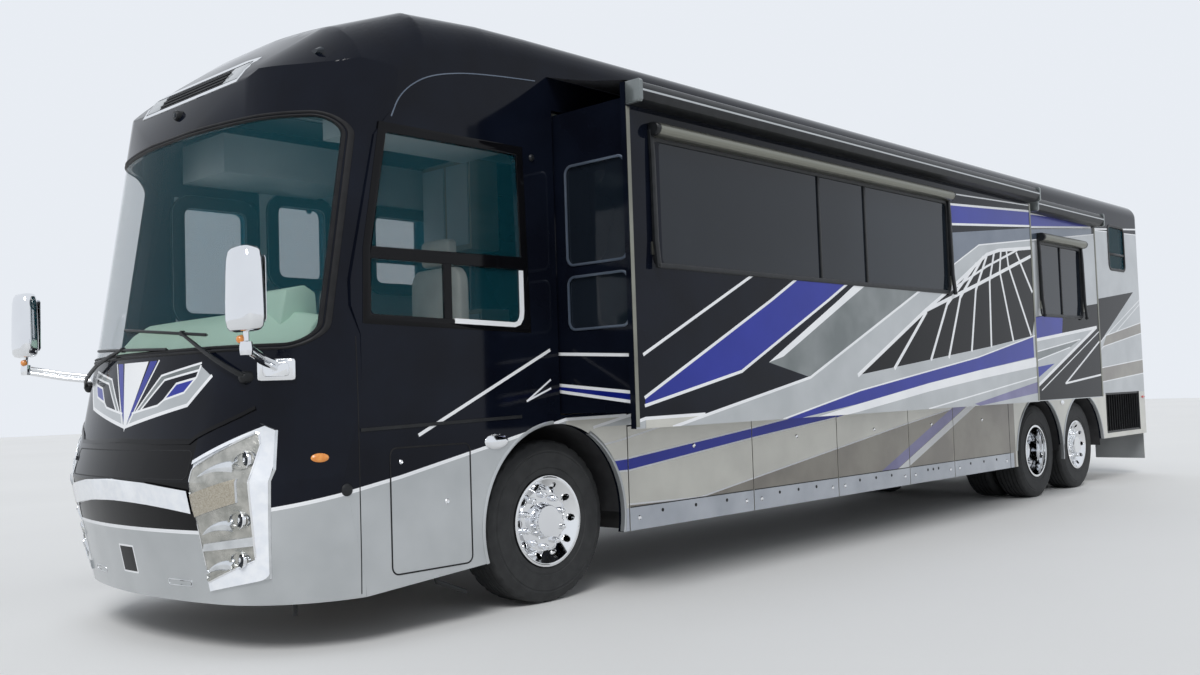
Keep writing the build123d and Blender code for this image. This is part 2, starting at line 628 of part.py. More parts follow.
# Steering knuckles: a fork round the beam's end, a kingpin and a spindle
EAR_GAP = 5
for side, name in ((1, "knuckle_left"), (-1, "knuckle_right")):
    with BuildPart() as knuckle:
        ear = BEAM_Z + BOSS_H / 2 + EAR_GAP
        y = side * KINGPIN_Y
        for z in (ear, 2 * BEAM_Z - ear - 55):
            add(rod((FRONT_X, y, z), (FRONT_X, y, z + 55), 50))
            add(block(FRONT_X - 50, FRONT_X + 50, y, y + side * 95, z, z + 55))
        add(block(FRONT_X - 50, FRONT_X + 50, y + side * 70, y + side * 95, 2 * BEAM_Z - ear - 55, ear + 55))
        add(rod((FRONT_X, y, 2 * BEAM_Z - ear), (FRONT_X, y, ear), 18))
        tip = side * (FRONT_FACE_Y - FRONT_DISC + SPINDLE_IN)
        add(rod((FRONT_X, y + side * 90, BEAM_Z), (FRONT_X, tip, BEAM_Z), BORE_R - BORE_GAP))
        add(block(FRONT_X - 160, FRONT_X - 40, y - side * 10, y + side * 60, 2 * BEAM_Z - ear - 45, 2 * BEAM_Z - ear - 15))
    save(knuckle.part, name)


# Wheels. A tyre's profile runs from its outer face inwards
def wheel_plane(x):
    return Plane(origin=(x, 0, TYRE_R), x_dir=(1, 0, 0), z_dir=(0, 0, 1))


BEAD_IN = 24
TREAD_IN = 10


def tyre(x, side, face):
    """One tyre with its outer face at the given distance out."""
    with BuildPart() as ring:
        with BuildSketch(wheel_plane(x)):
            with BuildLine():
                out = side * face
                near = [(RIM_R, BEAD_IN), (TYRE_R, TREAD_IN)]
                far = [(r, TYRE_W - t) for r, t in reversed(near)]
                Polyline(*((r, out - side * t) for r, t in near + far), close=True)
            make_face()
        revolve(axis=Axis((x, 0, TYRE_R), (0, 1, 0)))
    return ring.part


LUGS = 10
LUG_CIRCLE_R = 167
LUG_R = 19
LUG_H = 40
HAND_CIRCLE_R = 230
HAND_R = 24
RIM_IN_R = 270
SEAT_R = RIM_R - 0.3
LIP_IN = 14
DISC_T = 24
DISC_R = 196
TWIN_T = 76
HUB_R = 112
HUB_TOP_R = 98
HUB_H = 62
DRIVE_HUB_H = 170
SPINDLE_ROOM = 20


def rim(x, face, dual):
    """Left wheel: barrel, dished disc, hub with its cap, lugs and hand holes, twin barrels if dual."""
    def at(r, t):
        return (r, face - t)
    disc = DRIVE_DISC if dual else FRONT_DISC
    back = disc + (TWIN_T if dual else DISC_T)
    last = TYRE_W - LIP_IN + (TYRE_W + DUAL_GAP if dual else 0)
    cap = disc - (DRIVE_HUB_H if dual else HUB_H)
    dish = [at(RIM_IN_R, disc - 40), at(RIM_IN_R, LIP_IN)] if dual else [at(RIM_IN_R, LIP_IN)]
    with BuildPart() as wheel:
        with BuildSketch(wheel_plane(x)):
            with BuildLine():
                Polyline(
                    at(SEAT_R, LIP_IN), at(SEAT_R, last), at(RIM_IN_R, last), at(RIM_IN_R, back + 8),
                    at(BORE_R, back), at(BORE_R, disc - SPINDLE_ROOM), at(0, disc - SPINDLE_ROOM), at(0, cap),
                    at(HUB_TOP_R, cap), at(HUB_R, disc), at(DISC_R, disc), *dish, close=True,
                )
            make_face()
        revolve(axis=Axis((x, 0, TYRE_R), (0, 1, 0)))
        hub_plane = Plane(origin=(x, face - disc, TYRE_R), x_dir=(1, 0, 0), z_dir=(0, 1, 0))
        with BuildSketch(hub_plane.offset(-1)):
            with PolarLocations(LUG_CIRCLE_R, LUGS, start_angle=18):
                RegularPolygon(LUG_R, 6)
        extrude(amount=LUG_H)
        with BuildSketch(hub_plane.offset(disc - LIP_IN)):
            with PolarLocations(HAND_CIRCLE_R, LUGS):
                RegularPolygon(HAND_R, 8)
        extrude(amount=LIP_IN - back - 20, mode=Mode.SUBTRACT)
    return wheel.part


# name, axle x, outer face y, twin
WHEELS = (
    ("front", FRONT_X, FRONT_FACE_Y, False),
    ("drive", DRIVE_X, DRIVE_FACE_Y, True),
    ("tag", TAG_X, FRONT_FACE_Y, False),
)
for name, x, face, dual in WHEELS:
    left_rim = rim(x, face, dual)
    for side, hand in ((1, "left"), (-1, "right")):
        rings = [tyre(x, side, face - i * (TYRE_W + DUAL_GAP)) for i in range(2 if dual else 1)]
        with BuildPart() as tyres:
            add(rings)
        save(tyres.part, f"tyre_{name}_{hand}")
        save(left_rim if side > 0 else mirror(left_rim, about=Plane.XZ), f"rim_{name}_{hand}")

# Storage bay doors, hinged on their front edges
for side, hand, seams in ((1, "left", BAY_SEAMS), (-1, "right", RIGHT_SEAMS)):
    for i in range(len(seams) - 1):
        with BuildPart() as bay_door:
            x1 = fx(seams[i]) - DOOR_GAP / 2
            x0 = fx(seams[i + 1]) + DOOR_GAP / 2
            with BuildSketch(side_plane(side)):
                with Locations(((x0 + x1) / 2, (BAY_Z0 + BAY_Z1) / 2)):
                    Rectangle(x1 - x0, BAY_Z1 - BAY_Z0)
            extrude(amount=side * DOOR_T)
        save(bay_door.part, f"bay_door_{hand}_{i + 1}")

with BuildPart() as access_door:
    with BuildSketch(side_plane(1)):
        with Locations((fx((ACCESS[0] + ACCESS[1]) / 2), (ACCESS[2] + ACCESS[3]) / 2)):
            RectangleRounded(ACCESS[1] - ACCESS[0], ACCESS[3] - ACCESS[2], DOOR_R - DOOR_GAP / 2)
    extrude(amount=DOOR_T)
save(access_door.part, "access_door")

# Entry door ahead of the right front wheel, with its window
ENTRY_WINDOW = (745, 1240, 2000, 2770)
with BuildPart() as entry_door:
    with BuildSketch(side_plane(-1)):
        with Locations((fx((ENTRY[0] + ENTRY[1]) / 2), (ENTRY[2] + ENTRY[3]) / 2)):
            RectangleRounded(ENTRY[1] - ENTRY[0], ENTRY[3] - ENTRY[2], DOOR_R - DOOR_GAP / 2)
        with Locations((fx((ENTRY_WINDOW[0] + ENTRY_WINDOW[1]) / 2), (ENTRY_WINDOW[2] + ENTRY_WINDOW[3]) / 2)):
            RectangleRounded(ENTRY_WINDOW[1] - ENTRY_WINDOW[0], ENTRY_WINDOW[3] - ENTRY_WINDOW[2], WINDOW_R,
                             mode=Mode.SUBTRACT)
    extrude(amount=-DOOR_T)
save(entry_door.part, "entry_door")
with BuildPart() as entry_glass:
    with BuildSketch(side_plane(-1, 6)):
        with Locations((fx((ENTRY_WINDOW[0] + ENTRY_WINDOW[1]) / 2), (ENTRY_WINDOW[2] + ENTRY_WINDOW[3]) / 2)):
            RectangleRounded(ENTRY_WINDOW[1] - ENTRY_WINDOW[0], ENTRY_WINDOW[3] - ENTRY_WINDOW[2], WINDOW_R)
    extrude(amount=-GLASS_T)
save(entry_glass.part, "entry_glass")

# Slide-out rooms: a hollow box behind an overlapping outer wall
END_PANES = ((1370, 1880, 2165, 2800), (1370, 1880, 1750, 2080))
for name, side, travel, x1, x0, top, wx1, wx0, wz0, wz1 in SLIDES:
    face_in = HALF_W + SLIDE_GAP + travel
    face_out = face_in + FLANGE_T
    box_x0 = fx(x0) + ROOM_CLEAR
    box_x1 = fx(x1) - ROOM_CLEAR
    box_z0 = FLOOR_TOP + 10
    box_z1 = top - ROOM_CLEAR
    inner_y = HALF_W - WALL_T - ROOM_LEFT_IN
    front_panes = END_PANES if name == "front_left" else ()
    with BuildPart() as room:
        with BuildSketch(side_plane(side, HALF_W - face_out)):
            with Locations((fx((x0 + x1) / 2), (top + FLANGE_LAP + FLOOR_TOP - FLANGE_HANG) / 2)):
                Rectangle(x1 - x0 + 2 * FLANGE_LAP, top + FLANGE_LAP - FLOOR_TOP + FLANGE_HANG)
            with Locations((fx((wx0 + wx1) / 2), (wz0 + wz1) / 2)):
                RectangleRounded(wx1 - wx0, wz1 - wz0, 40, mode=Mode.SUBTRACT)
        extrude(amount=side * FLANGE_T)
        with BuildSketch(side_plane(side, HALF_W - face_in)):
            with Locations(((box_x0 + box_x1) / 2, (box_z0 + box_z1) / 2)):
                Rectangle(box_x1 - box_x0, box_z1 - box_z0)
                Rectangle(box_x1 - box_x0 - 2 * ROOM_T, box_z1 - box_z0 - 2 * ROOM_T, mode=Mode.SUBTRACT)
        extrude(amount=side * (face_in - inner_y))
        for y0, y1, z0, z1 in front_panes:
            with BuildSketch(Plane.YZ.offset(box_x1 - ROOM_T)):
                with Locations((side * (y0 + y1) / 2, (z0 + z1) / 2)):
                    Rectangle(y1 - y0, z1 - z0)
            extrude(amount=ROOM_T, mode=Mode.SUBTRACT)
    save(room.part, f"slide_{name}_room")
    with BuildPart() as panes:
        with BuildSketch(side_plane(side, HALF_W - face_out + 6)):
            with Locations((fx((wx0 + wx1) / 2), (wz0 + wz1) / 2)):
                RectangleRounded(wx1 - wx0, wz1 - wz0, 40)
        extrude(amount=side * GLASS_T)
        for y0, y1, z0, z1 in front_panes:
            with BuildSketch(Plane.YZ.offset(box_x1 - 6 - GLASS_T)):
                with Locations((side * (y0 + y1) / 2, (z0 + z1) / 2)):
                    Rectangle(y1 - y0, z1 - z0)
            extrude(amount=GLASS_T)
    save(panes.part, f"slide_{name}_glass")
    # Roof awning case along the top edge, and the window awning with its arms
    with BuildPart() as awning:
        for a, b, out, z0, z1 in ((fx(x0) - FLANGE_LAP, fx(x1) + FLANGE_LAP, TOPPER_OUT, top + FLANGE_LAP - TOPPER_H,
                                   top + FLANGE_LAP),
                                  (fx(wx0) - CASE_LAP, fx(wx1) + CASE_LAP, CASE_OUT, wz1 + CASE_UP,
                                   wz1 + CASE_UP + CASE_H)):
            cut = CASE_CUT * (z1 - z0)
            with BuildSketch(Plane.YZ.offset(a)):
                with BuildLine():
                    Polyline(*((side * (face_out + y), z) for y, z in (
                        (0, z0), (out - cut, z0), (out, z0 + cut), (out, z1 - 1.5 * cut), (out - 1.5 * cut, z1), (0, z1),
                    )), close=True)
                make_face()
            extrude(amount=b - a)
        for x in (fx(wx0) - ARM_LAP, fx(wx1) + ARM_LAP):
            add(block(x - ARM_W / 2, x + ARM_W / 2, side * face_out, side * (face_out + ARM_OUT), wz0 - CASE_LAP,
                      wz1 + CASE_UP))
            knob = (x, side * (face_out + ARM_OUT), wz0 - CASE_LAP)
            add(block(x - ARM_W / 2, x + ARM_W / 2, knob[1], knob[1] + side * ARM_OUT / 2, knob[2], knob[2] + 2 * ARM_OUT))
    save(awning.part, f"slide_{name}_awning")

# Fabric between the roof edge and each slide's awning case
FABRIC_T = 3
RAIL_Z = 3400
with BuildPart() as topper_fabrics:
    for name, side, travel, x1, x0, top, *window in SLIDES:
        case_z1 = top + FLANGE_LAP
        start = (side * (HALF_W + 1), RAIL_Z)
        end = (side * (HALF_W + SLIDE_GAP + travel + FLANGE_T + 5), case_z1 + 4)
        with BuildSketch(Plane.YZ.offset(fx(x0) - FLANGE_LAP)):
            with BuildLine():
                Polyline(start, end, (end[0], end[1] + FABRIC_T), (start[0], start[1] + FABRIC_T), close=True)
            make_face()
        extrude(amount=x1 - x0 + 2 * FLANGE_LAP)
save(topper_fabrics.part, "topper_fabrics")

# Cab: dashboard with the steering column, wheel and two chairs
DASH_Z = 1500
DASH_BACK_X = 1480
DASH_FRONT_X = 1960
DRIVER_Y = 620
COLUMN = Plane(origin=(fx(1330), DRIVER_Y, 1640), x_dir=(0, 1, 0), z_dir=(-0.6, 0, 0.8))
COLUMN_R = 30
COLUMN_L = 250
dash_y = [HALF_W - 132, HALF_W - 182, HALF_W - 582]
with BuildPart() as dashboard:
    with BuildSketch(Plane.XY.offset(FLOOR_TOP)):
        with BuildLine():
            Polyline(
                (fx(DASH_BACK_X), dash_y[0]),
                (fx(DASH_BACK_X + 140), dash_y[1]),
                (fx(DASH_FRONT_X), dash_y[2]),
                (fx(DASH_FRONT_X), -dash_y[2]),
                (fx(DASH_BACK_X + 140), -dash_y[1]),
                (fx(DASH_BACK_X), -dash_y[0]),
                close=True,
            )
        make_face()
    extrude(amount=DASH_Z - FLOOR_TOP)
    with BuildSketch(COLUMN.offset(-COLUMN_R)):
        Circle(COLUMN_R)
    extrude(amount=-COLUMN_L)
save(dashboard.part, "dashboard")
WHEEL_R = 215
WHEEL_RIM_R = 14
WHEEL_HUB_R = 55
WHEEL_HUB_H = 40
SPOKES = 4
STUB_H = 10
rim_plane = Plane(origin=COLUMN.origin, x_dir=COLUMN.x_dir, z_dir=COLUMN.y_dir)
with BuildPart(COLUMN) as steering_wheel:
    with BuildSketch(rim_plane):
        with Locations((WHEEL_R, 0)):
            RegularPolygon(WHEEL_RIM_R, 6)
    revolve(axis=Axis(COLUMN.origin, COLUMN.z_dir))
    Cylinder(WHEEL_HUB_R, WHEEL_HUB_H)
    with PolarLocations((WHEEL_R + WHEEL_HUB_R) / 2 - 10, SPOKES, start_angle=45):
        Box(WHEEL_R - WHEEL_HUB_R + 20, 2 * WHEEL_RIM_R, 10)
    with Locations((0, 0, -(WHEEL_HUB_H + STUB_H) / 2 + 0.3)):
        Cylinder(WHEEL_HUB_R / 2, STUB_H)
save(steering_wheel.part, "steering_wheel")
SEAT_W = 530
SEAT_X = (370, 920)
BACK_X = (340, 460)
SEAT_Z = (FLOOR_TOP + 225, FLOOR_TOP + 370)
BACK_Z = FLOOR_TOP + 990
REST_Z = BACK_Z + 190
PEDESTAL_R = 130
with BuildPart() as seats:
    for y in (DRIVER_Y, -500):
        add(rod((fx(650), y, FLOOR_TOP), (fx(650), y, SEAT_Z[0] + 5), PEDESTAL_R))
        add(block(fx(SEAT_X[0]), fx(SEAT_X[1]), y - SEAT_W / 2, y + SEAT_W / 2, *SEAT_Z))
        add(block(fx(BACK_X[0]), fx(BACK_X[1]), y - SEAT_W / 2, y + SEAT_W / 2, SEAT_Z[1] - 70, BACK_Z))
        add(block(fx(BACK_X[0] + 5), fx(BACK_X[1] - 15), y - 0.28 * SEAT_W, y + 0.28 * SEAT_W, BACK_Z - 5, REST_Z))
save(seats.part, "seats")

# Mirrors: a foot on the cap's corner, an arm and a rounded head on its end
MIRROR_AT = (2265, HALF_W + 167.5, 1905)
HEAD_SIZE = (100, 210, 425)
HEAD_R = 60
HEAD_TAPER = 10
FOOT_AT = (1885, HALF_W - 192.5, 1515)
FOOT_SIZE = (90, 205, 125)
FOOT_TURN = 46
MIRROR_ARM_R = 21
ELBOW_DOWN = 85
ELBOW = 27
with BuildPart() as mirrors:
    x, y, z = fx(MIRROR_AT[0]), MIRROR_AT[1], MIRROR_AT[2]
    foot = (fx(FOOT_AT[0]), FOOT_AT[1], FOOT_AT[2])
    elbow_z = z - HEAD_SIZE[2] / 2 - ELBOW_DOWN
    add(Pos(*foot) * Rot(0, 0, FOOT_TURN) * Box(*FOOT_SIZE, mode=Mode.PRIVATE))
    add(rod(foot, (x, y, elbow_z), MIRROR_ARM_R))
    add(block(x - ELBOW, x + ELBOW, y - ELBOW, y + ELBOW, elbow_z - ELBOW, elbow_z + ELBOW))
    add(rod((x, y, elbow_z), (x, y, z), MIRROR_ARM_R))
    with BuildSketch(Plane.YZ.offset(x - HEAD_SIZE[0] / 2)):
        with Locations((y, z)):
            RectangleRounded(HEAD_SIZE[1], HEAD_SIZE[2], HEAD_R)
    extrude(amount=HEAD_SIZE[0], taper=HEAD_TAPER)
    add(cap_outer, mode=Mode.SUBTRACT)
    mirror(about=Plane.XZ)
save(mirrors.part, "mirrors")

# Wipers lie on the glass, seen from ahead: pivot, arm's end on the blade, the blade's two ends
WIPERS = (
    ((970, 1480), (470, 1741), (-210, 1800), (674, 1722)),
    ((-930, 1480), (-190, 1681), (-720, 1700), (340, 1658)),
)
BLADE_W = 16
ARM_WIDE = 26
PIVOT_R = 34


def strip(start, end, width):
    """Corners of a flat bar of even width."""
    way = (Vector(*end) - Vector(*start)).normalized() * (width / 2)
    across = Vector(-way.Y, way.X)
    corners = (Vector(*start) + across, Vector(*end) + across, Vector(*end) - across, Vector(*start) - across)
    return [(corner.X, corner.Y) for corner in corners]


with BuildSketch(Plane.YZ) as wiper_outline:
    for pivot, arm_end, *blade in WIPERS:
        Polygon(*strip(pivot, arm_end, ARM_WIDE), align=None)
        Polygon(*strip(*blade, BLADE_W), align=None)
        with Locations(pivot):
            RegularPolygon(PIVOT_R, 8)
with BuildPart() as wipers:
    extrude(wiper_outline.sketch, amount=LENGTH)
    add(cap_proud, mode=Mode.INTERSECT)
    add(glass_outer, mode=Mode.SUBTRACT)
    add(front_cap.part, mode=Mode.SUBTRACT)
save(wipers.part, "wipers")

# Roof units and the hitch
UNIT_AT = (-1700, -5200, -8800)
UNIT_SIZE = (1050, 720, 240)
with BuildPart() as roof_units:
    for x in UNIT_AT:
        with BuildSketch(Plane.XY.offset(ROOF_Z - 20)):
            with Locations((fx(x), 0)):
                RectangleRounded(UNIT_SIZE[0], UNIT_SIZE[1], UNIT_SIZE[1] / 6)
        extrude(amount=UNIT_SIZE[2], taper=12)
    add(roof.part, mode=Mode.SUBTRACT)
save(roof_units.part, "roof_units")

# Hitch receiver on drop plates from the rails
HITCH_Z = 450
SOCKET = 50.8
TUBE = 63.5
PIN_R = 8
PIN_X = -HALF_L + 105
with BuildPart() as hitch_receiver:
    add(block(-HALF_L + 40, -HALF_L + 400, -TUBE / 2, TUBE / 2, HITCH_Z - TUBE / 2, HITCH_Z + TUBE / 2))
    add(block(-HALF_L + 300, -HALF_L + 380, -RAIL_Y1, RAIL_Y1, HITCH_Z - 40, HITCH_Z + 40))
    for side in (1, -1):
        add(block(-HALF_L + 260, -HALF_L + 420, side * RAIL_Y0, side * RAIL_Y1, HITCH_Z - 40, RAIL_Z0))
    add(block(-HALF_L + 40, -HALF_L + 290, -SOCKET / 2, SOCKET / 2, HITCH_Z - SOCKET / 2, HITCH_Z + SOCKET / 2),
        mode=Mode.SUBTRACT)
    add(rod((PIN_X, -TUBE, HITCH_Z), (PIN_X, TUBE, HITCH_Z), PIN_R), mode=Mode.SUBTRACT)
save(hitch_receiver.part, "hitch_receiver")
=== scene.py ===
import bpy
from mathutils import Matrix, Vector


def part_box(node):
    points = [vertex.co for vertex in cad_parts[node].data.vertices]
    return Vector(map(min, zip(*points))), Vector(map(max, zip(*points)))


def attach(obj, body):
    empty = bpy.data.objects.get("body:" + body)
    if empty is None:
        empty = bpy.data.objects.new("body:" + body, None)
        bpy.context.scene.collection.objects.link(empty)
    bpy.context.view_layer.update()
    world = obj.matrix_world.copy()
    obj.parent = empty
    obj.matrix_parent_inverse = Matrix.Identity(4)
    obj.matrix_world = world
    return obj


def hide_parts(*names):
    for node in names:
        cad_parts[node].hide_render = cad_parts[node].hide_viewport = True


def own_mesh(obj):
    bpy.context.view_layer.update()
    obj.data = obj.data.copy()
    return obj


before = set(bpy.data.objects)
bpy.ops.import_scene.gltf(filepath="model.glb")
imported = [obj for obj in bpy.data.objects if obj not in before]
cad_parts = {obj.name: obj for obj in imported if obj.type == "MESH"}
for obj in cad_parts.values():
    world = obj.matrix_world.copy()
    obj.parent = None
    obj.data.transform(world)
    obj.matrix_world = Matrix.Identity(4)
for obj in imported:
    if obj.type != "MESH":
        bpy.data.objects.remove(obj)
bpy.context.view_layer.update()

from math import cos, pi, radians, sin

import bmesh
import bpy
from mathutils import Matrix, Vector
from mathutils.bvhtree import BVHTree
from mathutils.geometry import delaunay_2d_cdt

# Metres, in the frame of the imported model: X forward, Y to the left, Z up.
# Lengths along the coach are given ahead of the front axle. LIFT is the paint's height off its panel;
# rays at a face start RAY_FROM away, and where one misses, the nearest point to NEAR_FACE out is taken.


def middle(node):
    low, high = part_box(node)
    return (low + high) / 2


AXLE = middle("tyre_front_left").x
SIDE_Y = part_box("left_wall")[1].y
TAIL_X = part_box("rear_cap")[0].x
LIFT = 0.001
RAY_FROM, NEAR_FACE = 20, 6
LEFT, RIGHT, FRONT, REAR = Vector((0, 1, 0)), Vector((0, -1, 0)), Vector((1, 0, 0)), Vector((-1, 0, 0))


def at(x, y, z):
    """Point from its distance ahead of the front axle, to the left and up."""
    return Vector((AXLE + x, y, z))


# Camera at the photograph's place
IMAGE_W = 1200
FOCAL_PX = 1136.8
CAMERA_AT = (5.141, 6.504, 1.331)
YAW, PITCH, ROLL = -2.3893, 0.0494, -0.0327


def set_camera():
    ahead = Vector((cos(YAW) * cos(PITCH), sin(YAW) * cos(PITCH), sin(PITCH)))
    right = ahead.cross(Vector((0, 0, 1))).normalized()
    up = right.cross(ahead)
    right, up = cos(ROLL) * right + sin(ROLL) * up, cos(ROLL) * up - sin(ROLL) * right
    data = bpy.data.cameras.new("camera")
    data.sensor_width = 36
    data.lens = 36 * FOCAL_PX / IMAGE_W
    data.clip_end = 200
    camera = bpy.data.objects.new("camera", data)
    turn = Matrix((right, up, -ahead)).transposed().to_4x4()
    camera.matrix_world = Matrix.Translation(at(*CAMERA_AT)) @ turn
    bpy.context.scene.collection.objects.link(camera)
    bpy.context.scene.camera = camera


# Materials


def socket(node, name, value):
    node.inputs[name].default_value = value


def material(name, colour, second=None, patch=0.4, rough=0.4, spread=0.08, bump=0.0, grain=0.004,
        stretch=(1, 1, 1), **uniform):
    """Surface whose colour drifts between two tones, and its gloss and relief with a fine grain."""
    made = bpy.data.materials.new(name)
    made.use_nodes = True
    nodes, links = made.node_tree.nodes, made.node_tree.links
    shader = nodes["Principled BSDF"]
    place = nodes.new("ShaderNodeTexCoord")
    scale = nodes.new("ShaderNodeMapping")
    socket(scale, "Scale", stretch)
    links.new(place.outputs["Object"], scale.inputs["Vector"])

    def noise(size, detail):
        made_noise = nodes.new("ShaderNodeTexNoise")
        socket(made_noise, "Scale", 1 / size)
        socket(made_noise, "Detail", detail)
        links.new(scale.outputs["Vector"], made_noise.inputs["Vector"])
        return made_noise

    wide, fine = noise(patch, 3), noise(grain, 4)
    tones = nodes.new("ShaderNodeValToRGB")
    tones.color_ramp.elements[0].position = 0.35
    tones.color_ramp.elements[1].position = 0.65
    tones.color_ramp.elements[0].color = (*colour, 1)
    tones.color_ramp.elements[1].color = (*(second or [min(1, c * 1.12 + 0.004) for c in colour]), 1)
    links.new(wide.outputs["Fac"], tones.inputs["Fac"])
    links.new(tones.outputs["Color"], shader.inputs["Base Color"])
    gloss = nodes.new("ShaderNodeMapRange")
    socket(gloss, "To Min", max(0.01, rough - spread))
    socket(gloss, "To Max", rough + spread)
    links.new(fine.outputs["Fac"], gloss.inputs["Value"])
    links.new(gloss.outputs["Result"], shader.inputs["Roughness"])
    if bump:
        relief = nodes.new("ShaderNodeBump")
        socket(relief, "Strength", bump)
        socket(relief, "Distance", grain)
        links.new(fine.outputs["Fac"], relief.inputs["Height"])
        links.new(relief.outputs["Normal"], shader.inputs["Normal"])
    for key, value in uniform.items():
        socket(shader, key.replace("_", " ").title().replace("Ior", "IOR"), value)
    return made


PAINT = dict(rough=0.07, spread=0.02, grain=0.0016, bump=0.015, specular_ior_level=0.16)
METALLIC = dict(rough=0.30, spread=0.06, grain=0.0012, bump=0.06, metallic=0.45, coat_weight=0.5,
    coat_roughness=0.03)
M = {
    "midnight": material("midnight", (0.0035, 0.0045, 0.009), (0.005, 0.007, 0.014), **PAINT),
    "black": material("gloss_black", (0.003, 0.003, 0.004), (0.005, 0.005, 0.006), **PAINT),
    "steel": material("steel_paint", (0.10, 0.13, 0.18), (0.14, 0.17, 0.22), **METALLIC),
    "pewter": material("pewter_paint", (0.13, 0.15, 0.15), (0.22, 0.24, 0.24), **METALLIC),
    "silver": material("silver_paint", (0.43, 0.45, 0.46), (0.50, 0.52, 0.53), **METALLIC),
    "champagne": material("champagne_paint", (0.56, 0.55, 0.50), (0.64, 0.63, 0.57), **METALLIC),
    "taupe": material("taupe_paint", (0.20, 0.18, 0.155), (0.27, 0.25, 0.21), **METALLIC),
    "sill": material("sill_metal", (0.42, 0.45, 0.50), (0.52, 0.55, 0.60), **METALLIC),
    "blue": material("blue_paint", (0.005, 0.016, 0.27), (0.010, 0.022, 0.32), patch=0.5,
        **dict(METALLIC, coat_weight=0.2)),
    "violet": material("violet_paint", (0.13, 0.12, 0.27), (0.19, 0.18, 0.36), **METALLIC),
    "white": material("white_line", (0.82, 0.83, 0.85), (0.88, 0.89, 0.90), **PAINT),
    "chrome": material("chrome", (0.80, 0.81, 0.83), (0.86, 0.87, 0.88), rough=0.06, spread=0.02,
        metallic=1.0),
    "rubber": material("tyre_rubber", (0.014, 0.015, 0.016), (0.024, 0.025, 0.026), patch=0.08, rough=0.72,
        bump=0.25, grain=0.003),
    "seal": material("rubber_seal", (0.006, 0.006, 0.007), patch=0.05, rough=0.5, bump=0.15, grain=0.002,
        specular_ior_level=0.25),
    "glass_dark": material("privacy_glass", (0.006, 0.009, 0.014), (0.012, 0.017, 0.024), patch=1.5,
        rough=0.05, spread=0.015, specular_ior_level=0.35),
    "glass": material("tinted_glass", (0.010, 0.090, 0.120), (0.014, 0.110, 0.145), patch=1.0, rough=0.03,
        spread=0.01, alpha=0.18, specular_ior_level=0.25),
    "tint": material("window_tint", (0.030, 0.500, 0.720), (0.040, 0.540, 0.760), patch=1.0, rough=0.05,
        alpha=0.30, specular_ior_level=0.2),
    "trim": material("black_trim", (0.008, 0.009, 0.010), (0.014, 0.015, 0.017), patch=0.06, rough=0.38,
        bump=0.12, grain=0.0015, specular_ior_level=0.3),
    "bronze": material("bronze_case", (0.20, 0.20, 0.17), (0.27, 0.27, 0.23), patch=0.3, rough=0.30,
        spread=0.06, grain=0.002, stretch=(0.02, 1, 1), metallic=0.85),
    "fabric": material("awning_cloth", (0.035, 0.036, 0.042), (0.055, 0.056, 0.064), patch=0.03, rough=0.85,
        bump=0.5, grain=0.0012),
    "roof": material("roof_skin", (0.72, 0.72, 0.70), (0.80, 0.80, 0.78), patch=0.6, rough=0.55, bump=0.2,
        grain=0.01),
    "chassis": material("chassis_black", (0.020, 0.020, 0.021), (0.032, 0.031, 0.030), patch=0.12,
        rough=0.55, bump=0.2, grain=0.004),
    "cast": material("engine_metal", (0.12, 0.12, 0.12), (0.18, 0.17, 0.16), patch=0.08, rough=0.6,
        bump=0.5, grain=0.004, metallic=0.8),
    "liner": material("liner_plastic", (0.022, 0.022, 0.024), (0.034, 0.034, 0.036), patch=0.1, rough=0.8,
        bump=0.4, grain=0.006),
    "leather": material("seat_leather", (0.52, 0.50, 0.45), (0.60, 0.58, 0.53), patch=0.12, rough=0.5,
        bump=0.3, grain=0.003),
    "dash": material("dash_trim", (0.62, 0.86, 0.68), (0.68, 0.92, 0.74), patch=0.4, rough=0.6, bump=0.2,
        grain=0.003),
    "wood": material("cabin_wood", (0.36, 0.30, 0.23), (0.45, 0.38, 0.30), patch=0.2, rough=0.45, bump=0.15,
        grain=0.01, stretch=(0.15, 1, 1)),
    "cabin": material("cabin_panel", (0.50, 0.54, 0.56), (0.60, 0.63, 0.64), patch=0.5, rough=0.5, bump=0.1,
        grain=0.004),
    "led": material("lamp_white", (0.82, 0.85, 0.90), (0.90, 0.92, 0.95), patch=0.05, rough=0.15,
        spread=0.05, coat_weight=1.0),
    "lens": material("clear_lens", (0.33, 0.33, 0.30), (0.50, 0.49, 0.45), patch=0.06, rough=0.22,
        bump=0.25, grain=0.02, metallic=0.7, coat_weight=1.0),
    "lens_warm": material("side_lens", (0.32, 0.28, 0.21), (0.46, 0.42, 0.34), patch=0.008, rough=0.15,
        bump=0.6, grain=0.008, coat_weight=1.0),
    "reflector": material("reflector", (0.62, 0.64, 0.66), (0.78, 0.80, 0.82), patch=0.1, rough=0.14,
        spread=0.05, metallic=0.95),
    "amber": material("amber_lens", (0.75, 0.24, 0.02), (0.85, 0.33, 0.05), patch=0.02, rough=0.12,
        coat_weight=1.0),
    "red": material("red_lens", (0.45, 0.015, 0.012), (0.60, 0.03, 0.02), patch=0.02, rough=0.12,
        coat_weight=1.0),
}

